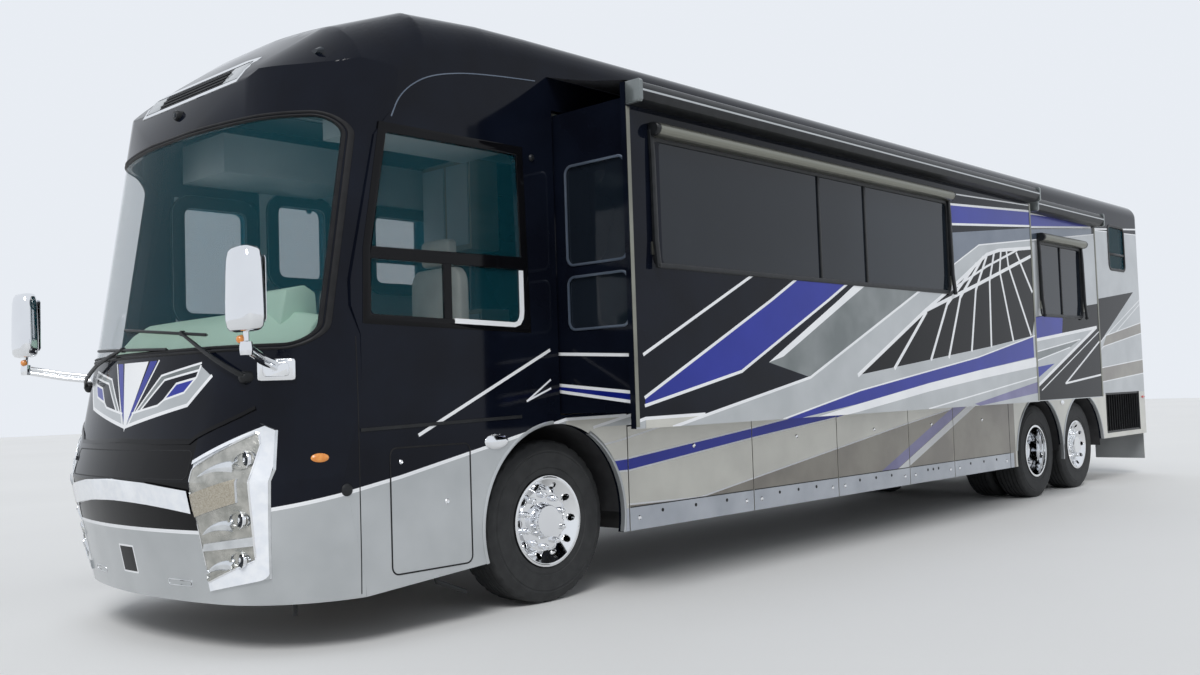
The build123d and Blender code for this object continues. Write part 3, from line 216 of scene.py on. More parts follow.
NODE_FINISH = {"front_cap": "midnight", "nose_panel": "black", "headlamps": "reflector",
    "windscreen": "glass", "left_wall": "midnight", "right_wall": "midnight", "side_glass": "glass",
    "roof": "roof", "rear_cap": "silver", "tail_lamps": "red", "house_floor": "wood",
    "chassis_frame": "chassis", "basement_tray": "chassis", "wheel_liners": "liner", "rear_grille": "trim",
    "axles": "chassis", "engine_block": "cast", "topper_fabrics": "fabric", "dashboard": "dash",
    "seats": "leather", "mirrors": "chrome", "wipers": "trim", "roof_units": "roof",
    "hitch_receiver": "chassis", "steering_wheel": "trim", "engine_door": "silver",
    "entry_door": "midnight", "entry_glass": "glass", "access_door": "silver"}
KIND_FINISH = (("knuckle", "chassis"), ("tyre", "rubber"), ("rim", "chrome"), ("bay_door", "champagne"),
    ("_room", "midnight"), ("_glass", "glass_dark"), ("_awning", "trim"))


def finish_nodes():
    for node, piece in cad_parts.items():
        finish = NODE_FINISH.get(node) or next(f for part, f in KIND_FINISH if part in node)
        piece.data.materials.clear()
        piece.data.materials.append(M[finish])


# Pieces


def new_piece(name, points, faces, finishes, body, smooth=30, indices=None):
    """Mesh object that rides on a body; smooth is the sharpest angle still shaded smooth."""
    mesh = bpy.data.meshes.new(name)
    mesh.from_pydata([tuple(p) for p in points], [], faces)
    mesh.validate()
    for finish in finishes:
        mesh.materials.append(M[finish])
    if indices:
        mesh.polygons.foreach_set("material_index", indices)
    if smooth:
        mesh.polygons.foreach_set("use_smooth", [True] * len(mesh.polygons))
        mesh.set_sharp_from_angle(angle=radians(smooth))
    mesh.update()
    piece = bpy.data.objects.new(name, mesh)
    bpy.context.scene.collection.objects.link(piece)
    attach(piece, body)
    return piece


def stroke(points, width):
    """Closed outlines of a painted line of even width along points, one for each run."""
    outlines = []
    for (x0, z0), (x1, z1) in zip(points, points[1:]):
        run = Vector((x1 - x0, z1 - z0)).normalized()
        side = Vector((-run.y, run.x)) * width / 2
        end = run * width * 0.3
        a, b = Vector((x0, z0)) - end, Vector((x1, z1)) + end
        outlines.append((tuple(a + side), tuple(b + side), tuple(b - side), tuple(a - side)))
    return outlines


def inside(point, outline):
    """True where the point is in the closed outline."""
    x, y = point
    found = False
    for (x0, y0), (x1, y1) in zip(outline, outline[1:] + outline[:1]):
        if (y0 > y) != (y1 > y) and x < x0 + (y - y0) * (x1 - x0) / (y1 - y0):
            found = not found
    return found


def layers(paints):
    """Paints as (finish, outline) rows, with each line spread into its runs."""
    rows = []
    for finish, points, *width in paints:
        outlines = stroke(points, width[0]) if width else [tuple(points)]
        rows += [(finish, outline) for outline in outlines]
    return rows


def lines(width, *paths):
    """White lines of one width, as rows of a paint table."""
    return [("white", path, width) for path in paths]


def skin(name, node, body, view, paints, base, facing=None, smooth=25):
    """Coat of paint outside the faces of a node that face a view more than the views beside it, or by the
    given share, cut along the edges of the stripes."""
    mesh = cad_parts[node].data
    mesh.calc_loop_triangles()
    points = [v.co.copy() for v in mesh.vertices]
    tree = BVHTree.FromPolygons(points, [tuple(t.vertices) for t in mesh.loop_triangles])
    across = Vector((0, 1, 0)) if abs(view.x) > 0.5 else Vector((1, 0, 0))
    shift = 0 if abs(view.x) > 0.5 else AXLE

    def flat(p):
        return (p.dot(across) - shift, p.z)

    shown, found, plane_points, edges = set(), {}, [], set()

    def index_of(p):
        key = (round(p[0], 4), round(p[1], 4))
        if key not in found:
            found[key] = len(plane_points)
            plane_points.append(Vector(key))
        return found[key]

    for t in mesh.loop_triangles:
        if t.normal.dot(view) > (max(0.3, abs(t.normal.dot(across))) if facing is None else facing):
            shown.add(t.index)
            corners = [index_of(flat(points[i])) for i in t.vertices]
            for a, b in zip(corners, corners[1:] + corners[:1]):
                if a != b:
                    edges.add((min(a, b), max(a, b)))
    low = [min(p[i] for p in plane_points) for i in (0, 1)]
    high = [max(p[i] for p in plane_points) for i in (0, 1)]
    rows = [(finish, outline) for finish, outline in layers(paints)
        if all(min(p[i] for p in outline) < high[i] and max(p[i] for p in outline) > low[i]
        for i in (0, 1))]
    for finish, outline in rows:
        ring = [index_of(p) for p in outline]
        edges |= {(min(a, b), max(a, b)) for a, b in zip(ring, ring[1:] + ring[:1]) if a != b}
    cut_points, _, cut_faces, *_ = delaunay_2d_cdt(plane_points, sorted(edges), [], 0, 1e-5)
    finishes = [base] + sorted({finish for finish, outline in rows} - {base})
    out_points, out_faces, out_finish, placed = [], [], [], {}
    for face in cut_faces:
        centre = sum((cut_points[i] for i in face), Vector((0, 0))) / len(face)
        start = across * (centre.x + shift) + Vector((0, 0, centre.y)) + view * RAY_FROM
        hit, _, index, _ = tree.ray_cast(start, -view)
        if index is None or index not in shown:
            continue
        normal = mesh.loop_triangles[index].normal
        corners = []
        for i in face:
            p = across * (cut_points[i].x + shift) + Vector((0, 0, cut_points[i].y))
            depth = (hit - p).dot(normal) / view.dot(normal)
            key = (i, round(depth, 3))
            if key not in placed:
                placed[key] = len(out_points)
                out_points.append(p + view * depth + normal * LIFT)
            corners.append(placed[key])
        a, b, c = (out_points[i] for i in corners[:3])
        outwards = (b - a).cross(c - a).dot(normal) > 0
        out_faces.append(corners if outwards else corners[::-1])
        paint = next((finish for finish, outline in reversed(rows) if inside(centre, outline)), base)
        out_finish.append(finishes.index(paint))
    return new_piece(name, out_points, out_faces, finishes, body, smooth, out_finish)


# Forms: points and faces, joined into a piece by assemble


def loft(rings, caps=(True, True), loop=False):
    """Skin through rings of equally many points."""
    count = len(rings[0])
    points = [Vector(p) for ring in rings for p in ring]
    faces = []
    for i in range(len(rings) if loop else len(rings) - 1):
        a, b = i * count, (i + 1) % len(rings) * count
        faces += [(a + j, a + (j + 1) % count, b + (j + 1) % count, b + j) for j in range(count)]
    if not loop and caps[0]:
        faces.append(tuple(range(count))[::-1])
    if not loop and caps[1]:
        faces.append(tuple(range(len(points) - count, len(points))))
    return points, faces


def lathe(profile, origin, axis, segments=40, loop=False):
    """Profile of (radius, distance along the axis) turned round the axis."""
    way = Vector(axis).normalized()
    u = way.orthogonal().normalized()
    v = way.cross(u)
    turns = [2 * pi * i / segments for i in range(segments)]
    rings = [[Vector(origin) + way * t + r * (cos(a) * u + sin(a) * v) for a in turns] for r, t in profile]
    return loft(rings, (not loop, not loop), loop)


def sweep(path, section, up, closed=False):
    """Section of (sideways, upwards) points carried along a path."""
    rings = []
    count = len(path)
    for i, p in enumerate(path):
        before = path[i - 1] if i or closed else p
        after = path[(i + 1) % count] if i < count - 1 or closed else p
        along = (after - before).normalized()
        side = along.cross(Vector(up)).normalized()
        rise = side.cross(along)
        rings.append([p + side * s + rise * r for s, r in section])
    return loft(rings, loop=closed)


def strip(foot, low, top, high):
    """Section of a moulding: half its width at the foot and at the top, with their heights."""
    return [(-foot, low), (foot, low), (top, high), (-top, high)]


def brim(low, high, inset, top):
    """Profile of a plate's edge for border: from low to high, then in to the top."""
    return [(0, low), (0, high), (-inset, top)]


def circle(radius, count=8):
    return [(radius * cos(2 * pi * i / count), radius * sin(2 * pi * i / count)) for i in range(count)]


def square(x0, x1, z0, z1):
    """Rectangle, anticlockwise."""
    return [(x0, z0), (x1, z0), (x1, z1), (x0, z1)]


def rounded(x0, x1, z0, z1, radius, steps=5):
    """Rectangle with round corners, anticlockwise."""
    corners = ((x1, z0, -90), (x1, z1, 0), (x0, z1, 90), (x0, z0, 180))
    outline = []
    for x, z, start in corners:
        cx, cz = x + (radius if x == x0 else -radius), z + (radius if z == z0 else -radius)
        for i in range(steps + 1):
            turn = radians(start + 90 * i / steps)
            outline.append((cx + radius * cos(turn), cz + radius * sin(turn)))
    return outline


def offset(outline, amount):
    """Anticlockwise outline moved outwards."""
    moved = []
    for i, p in enumerate(outline):
        here = Vector(p)
        a, b = here - Vector(outline[i - 1]), Vector(outline[(i + 1) % len(outline)]) - here
        out_a, out_b = Vector((a.y, -a.x)).normalized(), Vector((b.y, -b.x)).normalized()
        both = out_a + out_b
        moved.append(tuple(here + both * amount / max(0.6, both.dot(out_b))))
    return moved


def border(outline, profile, place, filled=False):
    """Frame round an outline, or a plate, from rows of (distance outside it, height over its carrier)."""
    rings = [[place(p, height) for p in offset(outline, out)] for out, height in profile]
    return loft(rings, (True, True)) if filled else loft(rings, loop=True)


def plate(finish, outline, profile, place):
    """Part of a piece: a filled outline with the given edge."""
    return finish, border(outline, profile, place, True)


def bar(low, high):
    """Straight-sided form between two corners."""
    corners = ((0, 0), (1, 0), (1, 1), (0, 1))
    return loft([[(x, (low[1], high[1])[i], (low[2], high[2])[j]) for i, j in corners]
        for x in (low[0], high[0])])


def dense(outline, step=0.04):
    """Outline with points added so that none are further apart than step."""
    full = []
    for a, b in zip(outline, outline[1:] + outline[:1]):
        parts = max(1, int((Vector(b) - Vector(a)).length / step))
        full += [tuple(Vector(a).lerp(Vector(b), i / parts)) for i in range(parts)]
    return full


def eased(points, steps=5):
    """Smooth line through points."""
    full = []
    ends = [points[0]] + list(points) + [points[-1]]
    for a, b, c, d in zip(ends, ends[1:], ends[2:], ends[3:]):
        a, b, c, d = Vector(a), Vector(b), Vector(c), Vector(d)
        for i in range(steps):
            t = i / steps
            full.append(tuple(b + 0.5 * t * (c - a + t * (2 * a - 5 * b + 4 * c - d
                + t * (3 * (b - c) + d - a)))))
    return full + [tuple(points[-1])]


def softened(outline, radius, steps=5):
    """Outline with its corners rounded."""
    full = []
    for i, p in enumerate(outline):
        corner = Vector(p)
        a = corner + (Vector(outline[i - 1]) - corner).normalized() * radius
        b = corner + (Vector(outline[(i + 1) % len(outline)]) - corner).normalized() * radius
        for k in range(steps + 1):
            t = k / steps
            full.append(tuple(a.lerp(corner, t).lerp(corner.lerp(b, t), t)))
    return full


def on_side(view, level=0.0):
    """Place (ahead of the front axle, height) on a side wall, level out from it, and a height over it."""
    return lambda p, height=0.0: at(p[0], view.y * (SIDE_Y + level + height), p[1])


def on_face(nodes, view):
    """Place (sideways, height) seen from a view on the first face of the nodes, and a height above it."""
    points, faces = [], []
    for node in nodes:
        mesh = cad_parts[node].data
        mesh.calc_loop_triangles()
        start = len(points)
        points += [v.co.copy() for v in mesh.vertices]
        faces += [tuple(start + i for i in t.vertices) for t in mesh.loop_triangles]
    tree = BVHTree.FromPolygons(points, faces)
    across = Vector((0, 1, 0)) if abs(view.x) > 0.5 else Vector((1, 0, 0))
    shift = 0 if abs(view.x) > 0.5 else AXLE

    def place(p, height=0.0):
        start = across * (p[0] + shift) + Vector((0, 0, p[1])) + view * RAY_FROM
        hit, normal, *_ = tree.ray_cast(start, -view)
        if hit is None:
            hit, normal, *_ = tree.find_nearest(start - view * (RAY_FROM - NEAR_FACE))
        return hit + normal * height

    return place


def assemble(name, body, parts, smooth=35, bevel=0.0, replaced=()):
    """Piece made of (finish, form) parts, welded, turned outwards, its sharp edges rounded by bevel."""
    parts = list(parts)
    finishes = sorted({finish for finish, _ in parts})
    points, faces, indices = [], [], []
    for finish, (part_points, part_faces) in parts:
        start = len(points)
        points += part_points
        faces += [tuple(start + i for i in face) for face in part_faces]
        indices += [finishes.index(finish)] * len(part_faces)
    piece = new_piece(name, points, faces, finishes, body, 0, indices)
    work = bmesh.new()
    work.from_mesh(piece.data)
    bmesh.ops.remove_doubles(work, verts=work.verts, dist=1e-5)
    bmesh.ops.recalc_face_normals(work, faces=work.faces)
    if bevel:
        sharp = [e for e in work.edges if len(e.link_faces) == 2 and e.calc_face_angle() > 0.6]
        bmesh.ops.bevel(work, geom=sharp, offset=bevel, segments=2, affect="EDGES", profile=0.5,
            clamp_overlap=True)
    work.to_mesh(piece.data)
    work.free()
    piece.data.polygons.foreach_set("use_smooth", [True] * len(piece.data.polygons))
    piece.data.set_sharp_from_angle(angle=radians(smooth))
    for node in replaced:
        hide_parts(node)
    return piece


# Stripes along the sides: finish, corners as (ahead of the front axle, height), and the width of a line
PIN, EDGE, WIDE = 0.012, 0.020, 0.032
LOWER_PAINT = (
    ("silver", ((2.4, 0.2), (2.4, 0.70), (2.05, 0.765), (1.24, 0.90), (0.60, 1.03), (-0.09, 1.172),
        (0, 0.2))),
    ("champagne", ((-0.05, 0.2), (-0.09, 1.172), (-0.7, 1.178), (-9.7, 1.13), (-12, 1.13), (-12, 0.2))),
    ("taupe", ((-0.67, 0.57), (-1.46, 0.55), (-2.15, 0.64), (-4.47, 0.94), (-5.56, 1.07), (-7, 1.12),
        (-7, 0.2), (-0.67, 0.2))),
    *lines(PIN, ((-0.67, 0.57), (-1.46, 0.55), (-2.15, 0.64), (-4.47, 0.94), (-5.56, 1.07))),
    ("blue", ((-0.36, 0.80), (-0.36, 0.87), (-0.69, 0.885), (-2.16, 1.03), (-2.90, 1.111), (-3.75, 1.111),
        (-3.37, 1.06), (-2.15, 0.95), (-0.69, 0.80))),
    *lines(PIN, ((-0.36, 0.87), (-0.69, 0.885), (-2.16, 1.03), (-2.90, 1.111)),
        ((-0.36, 0.80), (-0.69, 0.80), (-2.15, 0.95), (-3.37, 1.06)),
        ((-0.36, 0.98), (-0.60, 1.01), (-1.12, 1.10))),
    ("violet", ((-5.56, 1.08), (-5.85, 1.08), (-4.39, 0.55), (-4.10, 0.55))),
    ("white", ((-5.87, 1.08), (-6.07, 1.08), (-4.58, 0.545), (-4.39, 0.545))),
    ("sill", ((-0.52, 0.2), (-0.52, 0.545), (-6.95, 0.545), (-6.95, 0.2))),
    *lines(EDGE, ((2.4, 0.70), (2.05, 0.765), (1.24, 0.90), (0.60, 1.03), (-0.09, 1.172), (-0.67, 1.178))),
)
UPPER_PAINT = (
    ("pewter", ((-1.41, 1.51), (-2.94, 2.19), (-3.86, 2.19), (-3.30, 1.96), (-1.93, 1.40))),
    ("silver", ((-0.35, 1.111), (-1.93, 1.40), (-3.30, 1.96), (-3.86, 2.19), (-4.21, 2.33), (-4.83, 2.58),
        (-5.95, 2.71), (-7.90, 2.93), (-9.60, 3.20), (-12, 3.30), (-12, 1.13), (-8, 1.10))),
    ("steel", ((-4.20, 2.64), (-5.95, 2.83), (-7.90, 3.00), (-7.90, 2.93), (-5.95, 2.71), (-4.83, 2.58),
        (-4.21, 2.33))),
    *lines(PIN, ((-4.21, 2.33), (-4.83, 2.58), (-5.95, 2.71), (-7.90, 2.93), (-9.60, 3.20), (-12, 3.30))),
    ("blue", ((-4.24, 2.90), (-5.94, 3.00), (-7.89, 3.08), (-7.88, 3.01), (-5.94, 2.85), (-4.22, 2.72))),
    *lines(EDGE, ((-4.24, 2.90), (-5.94, 3.00), (-7.89, 3.08), (-12, 3.40)),
        ((-4.22, 2.72), (-5.94, 2.85), (-7.88, 3.01))),
    *lines(PIN, ((-4.30, 3.00), (-5.96, 3.06), (-7.90, 3.14))),
    ("blue", ((-0.09, 1.30), (-1.48, 1.95), (-1.96, 2.19), (-2.66, 2.19), (-2.23, 1.98), (-1.09, 1.45),
        (-0.09, 1.25))),
    *lines(EDGE, ((-0.09, 1.30), (-1.48, 1.95), (-1.96, 2.19)),
        ((-2.66, 2.19), (-2.23, 1.98), (-1.09, 1.45), (-0.09, 1.25))),
    ("white", ((-1.41, 1.51), (-2.36, 1.98), (-2.76, 2.19), (-2.94, 2.19), (-2.51, 1.99), (-1.59, 1.55))),
    *lines(EDGE, ((-0.09, 1.562), (-1.41, 2.18)), ((-0.35, 1.11), (-1.93, 1.40), (-3.86, 2.19))),
    ("black", ((-2.60, 1.41), (-3.73, 1.94), (-4.27, 2.17), (-4.98, 2.50), (-5.25, 2.56), (-5.84, 2.63),
        (-6.04, 2.64), (-6.02, 1.96), (-5.93, 1.76), (-4.99, 1.65), (-3.80, 1.53))),
    *lines(WIDE, ((-2.60, 1.41), (-3.73, 1.94), (-4.27, 2.17), (-4.98, 2.50), (-5.25, 2.56), (-6.04, 2.64)),
        ((-3.73, 1.94), (-4.79, 2.22), (-5.98, 2.55))),
    *lines(EDGE, ((-4.15, 2.11), (-4.97, 2.39), (-5.70, 2.60))),
    *lines(WIDE, ((-3.17, 1.46), (-3.75, 1.93)), ((-3.80, 1.53), (-4.14, 2.01), (-4.75, 2.40)),
        ((-4.13, 1.55), (-4.40, 2.08), (-4.90, 2.47)), ((-4.58, 1.61), (-4.72, 2.16), (-5.00, 2.51)),
        ((-4.99, 1.65), (-5.02, 2.26), (-5.15, 2.54)), ((-5.48, 1.71), (-5.25, 2.36), (-5.30, 2.57)),
        ((-5.90, 1.77), (-5.45, 2.43), (-5.42, 2.58)), ((-5.98, 2.20), (-5.65, 2.56))),
    ("blue", ((-1.56, 1.111), (-2.61, 1.29), (-3.25, 1.37), (-4.71, 1.55), (-5.95, 1.76), (-5.95, 1.55),
        (-4.70, 1.43), (-3.74, 1.33), (-2.60, 1.19), (-1.79, 1.111))),
    ("white", ((-2.00, 1.111), (-2.60, 1.19), (-3.74, 1.33), (-4.70, 1.43), (-6.03, 1.55), (-6.03, 1.46),
        (-4.69, 1.35), (-3.74, 1.26), (-2.60, 1.13), (-2.4, 1.111))),
    *lines(PIN, ((-1.56, 1.111), (-2.61, 1.29), (-3.25, 1.37), (-4.71, 1.55), (-6.03, 1.77))),
    ("violet", ((-4.58, 1.13), (-6.03, 1.31), (-6.03, 1.20), (-4.70, 1.111))),
    *lines(PIN, ((-3.72, 1.115), (-6.03, 1.36))),
    ("black", ((-6.14, 1.95), (-7.49, 2.11), (-9.63, 2.32), (-11.04, 2.47), (-9.72, 1.78), (-8.60, 1.20),
        (-8.40, 1.12), (-6.14, 1.12))),
    ("blue", ((-6.14, 1.95), (-6.95, 2.02), (-6.90, 1.80), (-6.14, 1.72))),
    ("silver", ((-6.14, 1.72), (-7.90, 1.89), (-6.14, 1.24))),
    ("pewter", ((-6.14, 1.60), (-7.40, 1.75), (-7.10, 1.66), (-6.14, 1.51))),
    ("blue", ((-6.14, 1.45), (-6.66, 1.49), (-6.14, 1.32))),
    *lines(PIN, ((-6.14, 1.60), (-7.40, 1.75)), ((-6.14, 1.51), (-7.10, 1.66))),
    *lines(WIDE, ((-6.14, 1.72), (-7.90, 1.89)), ((-7.90, 1.89), (-6.14, 1.24))),
    *lines(PIN, ((-7.96, 1.84), (-6.30, 1.22))),
    *lines(EDGE, ((-7.96, 1.73), (-6.93, 1.28), (-7.96, 1.36))),
    *lines(PIN, ((-8.60, 1.25), (-9.72, 1.78), (-11.43, 2.43)),
        ((-8.80, 1.25), (-9.70, 1.67), (-11.87, 2.56))),
    ("taupe", ((-9.95, 1.87), (-11.9, 2.15), (-11.9, 2.00), (-9.80, 1.72))),
    ("taupe", ((-9.40, 1.43), (-11.9, 1.60), (-11.9, 1.41), (-9.20, 1.24))),
    *lines(PIN, ((-9.40, 1.43), (-11.9, 1.60)), ((-9.20, 1.24), (-11.9, 1.41)),
        ((-9.90, 1.86), (-11.9, 2.15)), ((-9.80, 1.72), (-11.9, 2.00))),
    *lines(EDGE, ((1.10, 1.13), (0.04, 1.62))),
    *lines(PIN, ((0.25, 1.30), (0.04, 1.43)), ((0.25, 1.30), (0.04, 1.375))),
)
SIDE_PAINT = LOWER_PAINT + UPPER_PAINT

# Nose: finish, corners as (to the left, height) for the left half
CHEVRON = (
    ("blue", ((0.175, 1.60), (0.25, 1.60), (0.02, 1.225), (0.0, 1.22))),
    ("silver", ((0.0, 1.228), (0.60, 1.342), (0.755, 1.495), (0.66, 1.555), (0.64, 1.495), (0.555, 1.411),
        (0.385, 1.376), (0.33, 1.345), (0.065, 1.306))),
    ("pewter", ((0.10, 1.308), (0.32, 1.512), (0.66, 1.570), (0.65, 1.531), (0.36, 1.487), (0.16, 1.325))),
    ("blue", ((0.385, 1.378), (0.475, 1.463), (0.63, 1.488), (0.555, 1.412))),
    *lines(EDGE, ((0.0, 1.228), (0.60, 1.342), (0.755, 1.495))),
    *lines(PIN, ((0.66, 1.555), (0.64, 1.495), (0.555, 1.411), (0.385, 1.376), (0.33, 1.345),
        (0.065, 1.306)), ((0.10, 1.308), (0.32, 1.512), (0.66, 1.570)),
        ((0.16, 1.325), (0.36, 1.487), (0.65, 1.531)), ((0.385, 1.378), (0.475, 1.463), (0.63, 1.488)),
        ((0.27, 1.60), (0.03, 1.23))),
)
MID_WEDGE = (("white", ((-0.155, 1.60), (0.155, 1.60), (0.0, 1.20))),)
BUMPER_TOP_Z = 0.66
NOSE_LOWER = (
    ("led", ((-0.725, 0.763), (-0.36, 0.803), (0, 0.816), (0.36, 0.803), (0.725, 0.763), (0.725, 0.886),
        (0.36, 0.926), (0, 0.939), (-0.36, 0.926), (-0.725, 0.886))),
    ("silver", ((-1.3, 0.2), (-1.3, BUMPER_TOP_Z), (1.3, BUMPER_TOP_Z), (1.3, 0.2))),
    *lines(EDGE, ((-0.745, BUMPER_TOP_Z), (0.745, BUMPER_TOP_Z))),
    *lines(PIN, ((-0.085, 0.40), (-0.085, 0.552), (0.085, 0.552), (0.085, 0.40), (-0.085, 0.40))),
    ("black", ((-0.08, 0.404), (-0.08, 0.547), (0.08, 0.547), (0.08, 0.404))),
)


def mirrored(paints):
    return tuple((finish, tuple((-y, z) for y, z in points), *width) for finish, points, *width in paints)


NOSE_PAINT = CHEVRON + mirrored(CHEVRON) + MID_WEDGE + NOSE_LOWER

# Front wall of the big left room: corners as (to the left, height)
END_PAINT = (
    *lines(EDGE, ((1.2, 1.60), (1.92, 1.56))),
    ("blue", ((1.2, 1.40), (1.92, 1.33), (1.92, 1.27), (1.2, 1.36))),
    *lines(EDGE, ((1.2, 1.40), (1.92, 1.33)), ((1.2, 1.36), (1.92, 1.27))),
)
TAIL_PAINT = (
    ("midnight", ((-1.3, 1.95), (-1.3, 3.7), (1.3, 3.7), (1.3, 1.95))),
    ("blue", ((-1.3, 1.80), (-1.3, 1.95), (1.3, 1.95), (1.3, 1.80))),
    *lines(EDGE, ((-1.3, 1.95), (1.3, 1.95)), ((-1.3, 1.80), (1.3, 1.80))),
)


# Least share that a face turns to the view to be painted, where the paint wraps round an edge
ROOF_EDGE_FACING, LAMP_FACING = 0.12, 0.06


def paint_body():
    """Every coat of paint, piece by piece."""
    for side, view in (("left", LEFT), ("right", RIGHT)):
        skin(f"paint_{side}_wall", f"{side}_wall", "coach", view, SIDE_PAINT, "midnight")
        skin(f"paint_{side}_cap", "front_cap", "coach", view, SIDE_PAINT, "midnight")
        skin(f"paint_{side}_tail", "rear_cap", "coach", view, SIDE_PAINT, "midnight")
        skin(f"paint_{side}_roof_edge", "roof", "coach", view, (), "midnight", facing=ROOF_EDGE_FACING)
    for hand, count, view in (("left", 5, LEFT), ("right", 3, RIGHT)):
        for i in range(count):
            door = f"bay_door_{hand}_{i + 1}"
            skin(f"paint_bay_{hand}_{i + 1}", door, door, view, SIDE_PAINT, "champagne")
    skin("paint_access_door", "access_door", "access_door", LEFT, SIDE_PAINT, "midnight")
    skin("paint_entry_door", "entry_door", "entry_door", RIGHT, SIDE_PAINT, "midnight")
    for name, view in (("front_left", LEFT), ("rear_left", LEFT), ("right", RIGHT)):
        skin(f"paint_slide_{name}", f"slide_{name}_room", f"slide_{name}", view, SIDE_PAINT, "midnight")
    skin("paint_slide_end", "slide_front_left_room", "slide_front_left", FRONT, END_PAINT, "midnight")
    skin("paint_nose", "front_cap", "coach", FRONT, NOSE_PAINT, "midnight")
    skin("paint_nose_panel", "nose_panel", "coach", FRONT, NOSE_PAINT, "black")
    skin("paint_lamps", "headlamps", "coach", FRONT, LAMP_PAINT + mirrored(LAMP_PAINT), "midnight",
        LAMP_FACING)
    skin("paint_tail", "rear_cap", "coach", REAR, TAIL_PAINT, "silver")
    skin("paint_engine_door", "engine_door", "engine_door", REAR, TAIL_PAINT, "silver")


# Wheels
TYRE_R, TYRE_W, TWIN_STEP = 0.522, 0.315, 0.360
SIDEWALL = ((0.270, 0.040), (0.292, 0.030), (0.301, 0.012), (0.322, 0.005), (0.340, 0.008), (0.346, 0.003),
    (0.400, 0.001), (0.440, 0.001), (0.444, 0.005), (0.452, 0.005), (0.456, 0.003), (0.478, 0.009),
    (0.484, 0.014), (0.504, 0.020), (0.516, 0.029), (0.521, 0.040))
GROOVES = (0.070, 0.116, 0.1575)
GROOVE_W, GROOVE_DEEP = 0.010, 0.013
TREAD_STEPS, BLOCK_STEPS, SHOULDER_R, BLOCK_CUT = 120, 4, 0.51, 0.009
# wheel, discs' distance in from the tyre face, hub height, twin
WHEELS = (("front", 0.070, 0.062, False), ("drive", 0.300, 0.170, True), ("tag", 0.070, 0.062, False))
LUGS, FIRST_LUG, LUG_CIRCLE, HAND_CIRCLE = 10, 18, 0.167, 0.230


def tyre_form(origin, way):
    """Tyre from its outer face inwards, with grooves round the tread and cut shoulder blocks."""
    half = list(SIDEWALL)
    for t in GROOVES:
        half += [(TYRE_R, t - GROOVE_W / 2), (TYRE_R - GROOVE_DEEP, t - GROOVE_W / 4),
            (TYRE_R - GROOVE_DEEP, t + GROOVE_W / 4), (TYRE_R, t + GROOVE_W / 2)]
    half = [(r, t) for r, t in half if t < TYRE_W / 2]
    profile = half + [(r, TYRE_W - t) for r, t in reversed(half)]
    points, faces = lathe(profile, origin, way, TREAD_STEPS, loop=True)
    for row, (r, t) in enumerate(profile):
        if r <= SHOULDER_R or min(t, TYRE_W - t) >= GROOVES[0] - GROOVE_W:
            continue
        for i in range(row * TREAD_STEPS, (row + 1) * TREAD_STEPS, BLOCK_STEPS):
            centre = origin + way * (points[i] - origin).dot(way)
            points[i] = centre + (points[i] - centre) * (1 - BLOCK_CUT / r)
    return points, faces


def rim_forms(face, way, disc, hub, twin):
    """Rim's edge, hub cap, barrel, hub ring, lugs and the bright rims of the hand holes."""
    def spot(degrees, radius):
        turn = radians(degrees)
        return face + Vector((cos(turn), 0, sin(turn))) * radius

    cap = disc - hub
    yield "chrome", lathe(((0.270, 0.014), (0.272, 0.006), (0.279, 0.002), (0.287, 0.004), (0.291, 0.012),
        (0.285, 0.020), (0.275, 0.020)), face, way, 72, loop=True)
    yield "chrome", lathe(((0.104, cap + 0.03), (0.104, cap + 0.002), (0.098, cap - 0.003),
        (0.070, cap - 0.005), (0.066, cap - 0.003), (0.040, cap - 0.006), (0.0, cap - 0.007)), face, way,
        48)
    yield "chrome", lathe(((0.269, 0.016), (0.262, 0.040), (0.258, disc - 0.012), (0.268, disc - 0.012),
        (0.2695, 0.040)), face, way, 72, loop=True)
    yield "chrome", lathe(((0.124, disc + 0.002), (0.124, disc - 0.006), (0.116, disc - 0.012),
        (0.110, disc - 0.006), (0.110, disc + 0.002)), face, way, 48, loop=True)
    depth = disc - 0.02 if twin else disc - 0.5 * (disc - 0.014)
    for i in range(LUGS):
        lug = ((0.026, disc + 0.002), (0.026, disc - 0.005), (0.0215, disc - 0.008), (0.0205, disc - 0.036),
            (0.016, disc - 0.048), (0.007, disc - 0.054), (0.0, disc - 0.055))
        yield "chrome", lathe(lug, spot(FIRST_LUG + 360 * i / LUGS, LUG_CIRCLE), way, 16)
        ring = ((0.0265, depth), (0.0285, depth - 0.003), (0.0265, depth - 0.006))
        yield "chrome", lathe(ring, spot(360 * i / LUGS, HAND_CIRCLE), way, 16, loop=True)


def wheels():
    for name, disc, hub, twin in WHEELS:
        for hand, sign in (("left", 1), ("right", -1)):
            tyre = f"tyre_{name}_{hand}"
            low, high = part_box(tyre)
            centre = (low + high) / 2
            face = Vector((centre.x, high.y if sign > 0 else low.y, centre.z))
            way = Vector((0, -sign, 0))
            body = f"wheel_{name}_{hand}"
            rings = [("rubber", tyre_form(face + way * TWIN_STEP * i, way))
                for i in range(2 if twin else 1)]
            assemble(f"tread_{name}_{hand}", body, rings, 30, replaced=(tyre,))
            rim = rim_forms(face, way, disc, hub, twin)
            assemble(f"hub_trim_{name}_{hand}", body, rim, 40)


